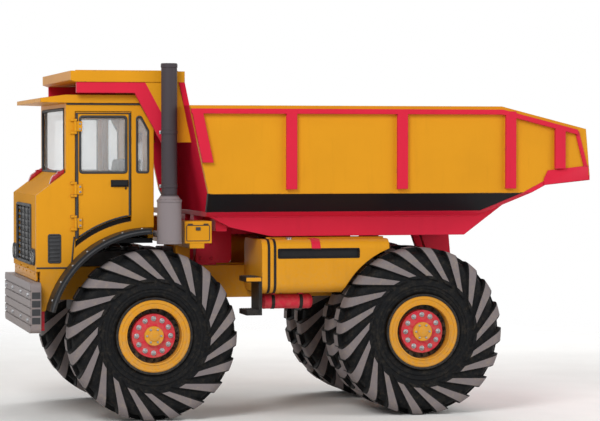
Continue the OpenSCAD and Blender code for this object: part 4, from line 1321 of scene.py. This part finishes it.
def floor_top(x):
    """Height of the floor's upper face where it rises to the tail."""
    if x < LIP_X:
        return BED_Z + FLOOR_T + max(0.0, x - TAIL_FROM) * (LIP_TOP - BED_Z - FLOOR_T) / (LIP_X - TAIL_FROM)
    return LIP_TOP + (x - LIP_X) * (TAIL_TOP - LIP_TOP) / (TAIL_X - LIP_X)


def side_top(x):
    """Height of the side's top edge, falling towards the tail."""
    fall = (BED_TOP - SIDE_END[1]) / (SIDE_END[0] - SIDE_DROP_X)
    return BED_TOP - max(0.0, x - SIDE_DROP_X) * fall


def make_tail_bands(side):
    """Red stiffener plates on the bed's tail: along the floor's edge, and from there up to the side's top."""
    s = SIDES[side]
    y0, y1 = s * (BED_HALF - 0.002), s * (BED_HALF + 0.016)
    start, end = LIP_X - 0.02, TAIL_X - 0.02
    rise = 0.120
    low = [(x, floor_top(x) - FLOOR_T + 0.004) for x in (start, LIP_X, end)]
    high = [(end, floor_top(end) + rise), (LIP_X + 0.03, floor_top(LIP_X) + rise),
            (start, floor_top(start) + 0.03)]
    bm = bmesh.new()
    plate(bm, low + high, y0, y1, 0.003)
    top_x, foot_x = SIDE_END[0] - 0.150, end - 0.012
    top_z, foot_z = side_top(top_x), floor_top(foot_x) + rise - 0.01
    stay = [(top_x, top_z - 0.055), (top_x + 0.055, top_z - 0.065),
            (foot_x, foot_z), (foot_x - 0.050, foot_z)]
    plate(bm, stay, y0, y1, 0.003)
    piece("tail_band_" + side, bm, "red_paint", body="bed")


def bed_front_x(z):
    """Where the leaning front edge of the bed's sides is at a height."""
    return BED_FRONT_X + (BED_TOP - z) * BED_LEAN


def make_bed_welds(side):
    """Weld beads down both edges of each rib and along the chine, and inside the front corners."""
    s = SIDES[side]
    y = s * (BED_HALF + 0.001)
    bm = bmesh.new()
    for edge in [x + dx for x in RIB_XS for dx in (-0.002, RIB_W + 0.002)]:
        sweep(bm, [(edge, y, CHINE_TOP + 0.052), (edge, y, side_top(edge) - 0.105)], 0.008, sides=8)
    ends = (bed_front_x(CHINE_TOP) + 0.02, TAIL_FROM + 0.40)
    sweep(bm, [(x, y - s * 0.003, CHINE_TOP + 0.002) for x in ends], 0.007, sides=8)
    piece("bed_welds_" + side, bm, "yellow_paint", body="bed")

    bm = bmesh.new()
    inner = s * (BED_HALF - 0.060)
    heights = (CHINE_TOP + 0.04, BED_TOP - 0.01)
    sweep(bm, [(bed_front_x(z) + 0.074, inner, z) for z in heights], 0.012, sides=8)
    piece("bed_corner_welds_" + side, bm, "yellow_paint", body="bed")


def make_bed_wear_bars():
    """Wear bars along the floor, polished by what slides over them."""
    x0, x1, z = BED_FRONT_X + 0.60, TAIL_FROM - 0.05, BED_Z + FLOOR_T
    bm = bmesh.new()
    for y in (-0.80, -0.40, 0.0, 0.40, 0.80):
        block(bm, (x0, y - 0.035, z - 0.002), (x1, y + 0.035, z + 0.010), 0.004)
    piece("bed_wear_bars", bm, "rod_steel", [worn_steel], body="bed")


def make_bed_guides():
    """A guide plate on the outside of each leg under the bed's front, tapered towards the back."""
    bm = bmesh.new()
    low = RAIL_LOW_Z + RAIL_H + 0.030
    top = BED_Z - 0.140
    x0 = low_of("bed_bolsters").x + 0.020
    x1 = x0 + 0.450
    inner, outer = RAIL_FACE - 0.002, RAIL_FACE + 0.027
    outline = [(x0, low), (x1 - 0.04, low), (x1, low + 0.04), (x1, top), (x0, top)]
    for s in (-1, 1):
        plate(bm, outline, s * inner, s * outer, 0.004)
        places = [(x0 + dx, s * outer, low + dz) for dx in (0.06, 0.19) for dz in (0.06, 0.24)]
        bolts(bm, places, (0, s, 0), 0.014)
    piece("bed_guides", bm, "red_paint", body="bed")


def make_bolster_welds():
    bm = bmesh.new()
    half = high_of("bed_chines").y - 0.450
    for s in (-1, 1):
        ends = (BED_FRONT_X + 0.40, TAIL_FROM - 0.02)
        sweep(bm, [(x, s * (half + 0.001), BED_Z - 0.002) for x in ends], 0.009, sides=8)
    piece("bolster_welds", bm, "red_paint", body="bed")


def make_canopy_edge():
    """Rolled edges along the canopy's front and its two sides."""
    low, high = corners_of("bed_canopy")
    bm = bmesh.new()
    x = low.x + 0.012
    sweep(bm, [(x, low.y + 0.012, low.z + 0.032), (x, high.y - 0.012, low.z + 0.032)], 0.014)
    for y in (low.y + 0.03, high.y - 0.03):
        sweep(bm, [(low.x + 0.06, y, high.z - 0.002), (high.x - 0.08, y, high.z - 0.002)], 0.012)
    piece("canopy_edges", bm, "yellow_paint", body="bed")


for side in SIDES:
    make_tail_bands(side)
    make_bed_welds(side)
make_bed_wear_bars()
make_bed_guides()
make_bolster_welds()
make_canopy_edge()


# Inside the cab
SEATS_LOW, SEATS_HIGH = corners_of("seats")
SEAT_X = SEATS_HIGH.x - 0.020
SEAT_Z = SEATS_LOW.z
SEAT_YS = {"left": -0.560, "right": 0.560}
SEAT_HALF = SEATS_HIGH.y - SEAT_YS["right"]


def cushion(centre, size, tilt, crown, channels):
    """A stuffed pad: crowned, pulled in between its corners, with sewn channels across its width."""
    bm = bmesh.new()
    bmesh.ops.create_cube(bm, size=2.0)
    bmesh.ops.subdivide_edges(bm, edges=list(bm.edges), cuts=23, use_grid_fill=True)
    half = Vector(size) / 2
    r = 0.42 * min(size)
    turn = Matrix.Rotation(math.radians(tilt), 3, "Y")
    for v in bm.verts:
        u = v.co.copy()
        at = Vector(u[i] * half[i] for i in range(3))
        core = Vector(max(r - half[i], min(half[i] - r, at[i])) for i in range(3))
        away = at - core
        if away.length > 0:
            at = core + away.normalized() * min(r, away.length)
        bow = (1 - u.x ** 2) * (1 - u.y ** 2)
        at.z += crown * bow * (0.5 + 0.5 * u.z)
        at.x *= 1 - 0.035 * (1 - u.y ** 2)
        at.y *= 1 - 0.030 * (1 - u.x ** 2)
        if u.z > 0:
            seam = min(abs(u.x - c) for c in channels)
            at.z -= 0.011 * math.exp(-(seam / 0.05) ** 2) * (1 - u.y ** 4)
        v.co = Vector(centre) + turn @ at
    return bm


def make_seat(side):
    y = SEAT_YS[side]
    width = 2 * SEAT_HALF - 0.02
    seat = cushion((SEAT_X - 0.345, y, SEAT_Z + 0.315), (0.40, width, 0.105), 4.0, 0.018, (-0.33, 0.33))
    back = cushion((SEAT_X - 0.085, y, SEAT_Z + 0.665), (0.56, width, 0.100), -82.0, 0.016,
                   (-0.45, 0.0, 0.45))
    for name, bm in (("seat_cushion_", seat), ("seat_back_", back)):
        pad = piece(name + side, bm, "seat", smooth=60.0)


def make_seat_bases():
    """Pedestals with a bellows, a pan and a back shell, which stand for the plain seats."""
    shell = [(-0.085, 0.262), (-0.060, 0.262), (0.010, 0.930), (-0.015, 0.950)]
    middle = SEAT_X - 0.26
    bm = bmesh.new()
    for y in SEAT_YS.values():
        block(bm, (middle - 0.19, y - 0.18, SEAT_Z), (middle + 0.19, y + 0.18, SEAT_Z + 0.035), 0.006)
        for i in range(5):
            z = SEAT_Z + 0.035 + 0.032 * i
            block(bm, (middle - 0.165, y - 0.155, z), (middle + 0.165, y + 0.155, z + 0.034), 0.015)
        block(bm, (SEAT_X - 0.54, y - 0.235, SEAT_Z + 0.195),
              (SEAT_X - 0.06, y + 0.235, SEAT_Z + 0.265), 0.014)
        plate(bm, [(SEAT_X + dx, SEAT_Z + dz) for dx, dz in shell], y - 0.225, y + 0.225, 0.006)
    piece("seat_bases", bm, "trim", replaces=["seats"])


DASH_X = low_of("dashboard").x
DASH_SLOPE = Vector((0.12, 0.0, 0.13)).normalized()
COLUMN = Vector((math.sin(math.radians(55)), 0.0, math.cos(math.radians(55))))
COLUMN_FOOT = Vector((DASH_X + 0.120, SEAT_YS["left"], SILL_Z - 0.200))


def make_gauges():
    """Three dials with marks and a hand, a row of switches, and the horn button on the steering column."""
    face = Vector((DASH_X + 0.125, SEAT_YS["left"], SILL_Z - 0.100))
    dials = [face + Vector((0, dy, 0)) for dy in (-0.15, 0.0, 0.15)]
    bm = bmesh.new()
    for at in dials:
        rim = [(0.050, -0.002), (0.064, -0.002), (0.064, 0.010), (0.058, 0.014), (0.050, 0.008)]
        lathe(bm, rim, at, DASH_SLOPE, 40, closed=True)
    piece("gauge_rims", bm, "rod_steel", [zinc])

    bm = bmesh.new()
    for n, at in enumerate(dials):
        for i, place in enumerate(ring_of(16, 0.041, at + 0.004 * DASH_SLOPE, DASH_SLOPE)):
            if i not in (3, 4, 5):
                inward = (at + 0.004 * DASH_SLOPE - place).normalized()
                rod(bm, place, place + inward * (0.010 if i % 2 else 0.006), 0.0015, sides=6)
        hand = ring_of(9, 0.034, at + 0.006 * DASH_SLOPE, DASH_SLOPE)[2 + 3 * n % 9]
        rod(bm, at + 0.006 * DASH_SLOPE, hand, 0.002, sides=6)
    piece("gauge_marks", bm, "lamp_clear")

    bm = bmesh.new()
    for i in range(7):
        at = face + Vector((0, 0.36 + 0.055 * i, 0))
        button(bm, at, DASH_SLOPE, 0.016, 0.005, 0.001, 16)
        button(bm, at, DASH_SLOPE, 0.009, 0.024, 0.002, 16)
    horn = [(0, -0.004), (0.056, -0.004), (0.054, 0.006), (0.036, 0.014), (0, 0.017)]
    lathe(bm, horn, COLUMN_FOOT + 0.170 * COLUMN, COLUMN, 36)
    piece("dash_switches", bm, "trim")


def make_pedals():
    """A ribbed floor mat, and two hanging pedals."""
    floor_z = CAB_FLOOR_Z + 0.060
    bm = bmesh.new()
    block(bm, (CAB_FRONT + 0.16, -1.02, floor_z + 0.001), (SEAT_X - 0.56, 1.02, floor_z + 0.010), 0.003)
    for i in range(9):
        x = CAB_FRONT + 0.20 + 0.028 * i
        block(bm, (x - 0.005, -1.00, floor_z + 0.009), (x + 0.005, 1.00, floor_z + 0.014), 0.002)
    for dy in (-0.10, 0.12):
        y = SEAT_YS["left"] + dy
        hinge = Vector((CAB_FRONT + 0.090, y, floor_z + 0.25))
        pad = Vector((CAB_FRONT + 0.170, y, floor_z + 0.10))
        sweep(bm, [hinge, hinge.lerp(pad, 0.6) + Vector((0.02, 0, 0)), pad], 0.010)
        block(bm, pad - Vector((0.012, 0.045, 0.040)), pad + Vector((0.012, 0.045, 0.040)), 0.006)
        rod(bm, hinge - Vector((0, 0.04, 0)), hinge + Vector((0, 0.04, 0)), 0.014)
        rod(bm, hinge, (CAB_FRONT + 0.058, y, floor_z + 0.25), 0.012)
    piece("pedals_and_mat", bm, "trim")


make_seat_bases()
for side in SIDES:
    make_seat(side)
make_gauges()
make_pedals()


# Stage: pale floor that fades into a white surround, and soft lights
def make_floor():
    bpy.ops.mesh.primitive_circle_add(vertices=96, radius=60.0, fill_type="NGON", location=(0, 0, -0.001))
    floor = bpy.context.object
    floor.name = "floor"
    s = Shade("floor", Roughness=0.85, Specular_IOR_Level=0.1)
    s.set("Base Color", s.mix(s.ramp(s.noise(0.8, 4.0), 0.3, 0.7), linear("#F1F0EE"), linear("#F6F5F3")))
    away = s.node("VectorMath", {"operation": "LENGTH"}, {0: s.place}).outputs["Value"]
    clear = s.node("BsdfTransparent").outputs[0]
    blend = s.node("MixShader", None, {0: s.ramp(away, 6.0, 16.0), 1: s.bsdf.outputs[0], 2: clear})
    s.feed(s.tree.nodes["Material Output"].inputs["Surface"], blend.outputs[0])
    floor.data.materials.append(s.material)


def make_world():
    world = bpy.data.worlds.new("surround")
    bpy.context.scene.world = world
    world.use_nodes = True
    tree = world.node_tree
    back = tree.nodes["Background"]
    path = tree.nodes.new("ShaderNodeLightPath")
    seen = path.outputs["Is Camera Ray"]
    for ray in ("Is Glossy Ray", "Is Transmission Ray"):
        either = tree.nodes.new("ShaderNodeMath")
        either.operation = "MAXIMUM"
        tree.links.new(seen, either.inputs[0])
        tree.links.new(path.outputs[ray], either.inputs[1])
        seen = either.outputs[0]
    strength = tree.nodes.new("ShaderNodeMapRange")
    strength.inputs["To Min"].default_value = AMBIENT
    strength.inputs["To Max"].default_value = 1.0
    tree.links.new(seen, strength.inputs["Value"])
    tree.links.new(strength.outputs["Result"], back.inputs["Strength"])
    back.inputs["Color"].default_value = (1.0, 1.0, 1.0, 1.0)


def area_light(name, place, aim, size, power):
    lamp = bpy.data.lights.new(name, "AREA")
    lamp.shape = "DISK"
    lamp.size = size
    lamp.energy = power
    holder = bpy.data.objects.new(name, lamp)
    bpy.context.scene.collection.objects.link(holder)
    holder.location = place
    holder.rotation_euler = (Vector(aim) - Vector(place)).to_track_quat("-Z", "Y").to_euler()


AMBIENT = 0.42
TRUCK_MIDDLE = (0.0, 0.0, 1.8)
make_floor()
make_world()
area_light("key", (-9.0, -13.0, 12.0), TRUCK_MIDDLE, 8.0, 1750)
area_light("fill", (12.0, -9.0, 7.0), TRUCK_MIDDLE, 9.0, 650)
area_light("back", (6.0, 13.0, 11.0), TRUCK_MIDDLE, 9.0, 1300)


# Camera: from the left, a little towards the front and above the hubs, as the photo looks
VIEW_YAW = math.radians(13.5)
VIEW_RISE = math.radians(1.5)
VIEW_DISTANCE = 30.0
VIEW_AIM = Vector((0.167, 0.0, 2.461))
PHOTO_W = 600
FOCAL_PX = 2364.0


def make_camera():
    eye = bpy.data.cameras.new("camera")
    eye.sensor_fit = "HORIZONTAL"
    eye.sensor_width = 36.0
    eye.lens = FOCAL_PX * eye.sensor_width / PHOTO_W
    holder = bpy.data.objects.new("camera", eye)
    bpy.context.scene.collection.objects.link(holder)
    away = Vector((-math.sin(VIEW_YAW) * math.cos(VIEW_RISE), -math.cos(VIEW_YAW) * math.cos(VIEW_RISE),
                   math.sin(VIEW_RISE)))
    holder.location = VIEW_AIM + VIEW_DISTANCE * away
    holder.rotation_euler = (-away).to_track_quat("-Z", "Y").to_euler()
    bpy.context.scene.camera = holder


make_camera()
bpy.context.scene.view_settings.view_transform = "Standard"
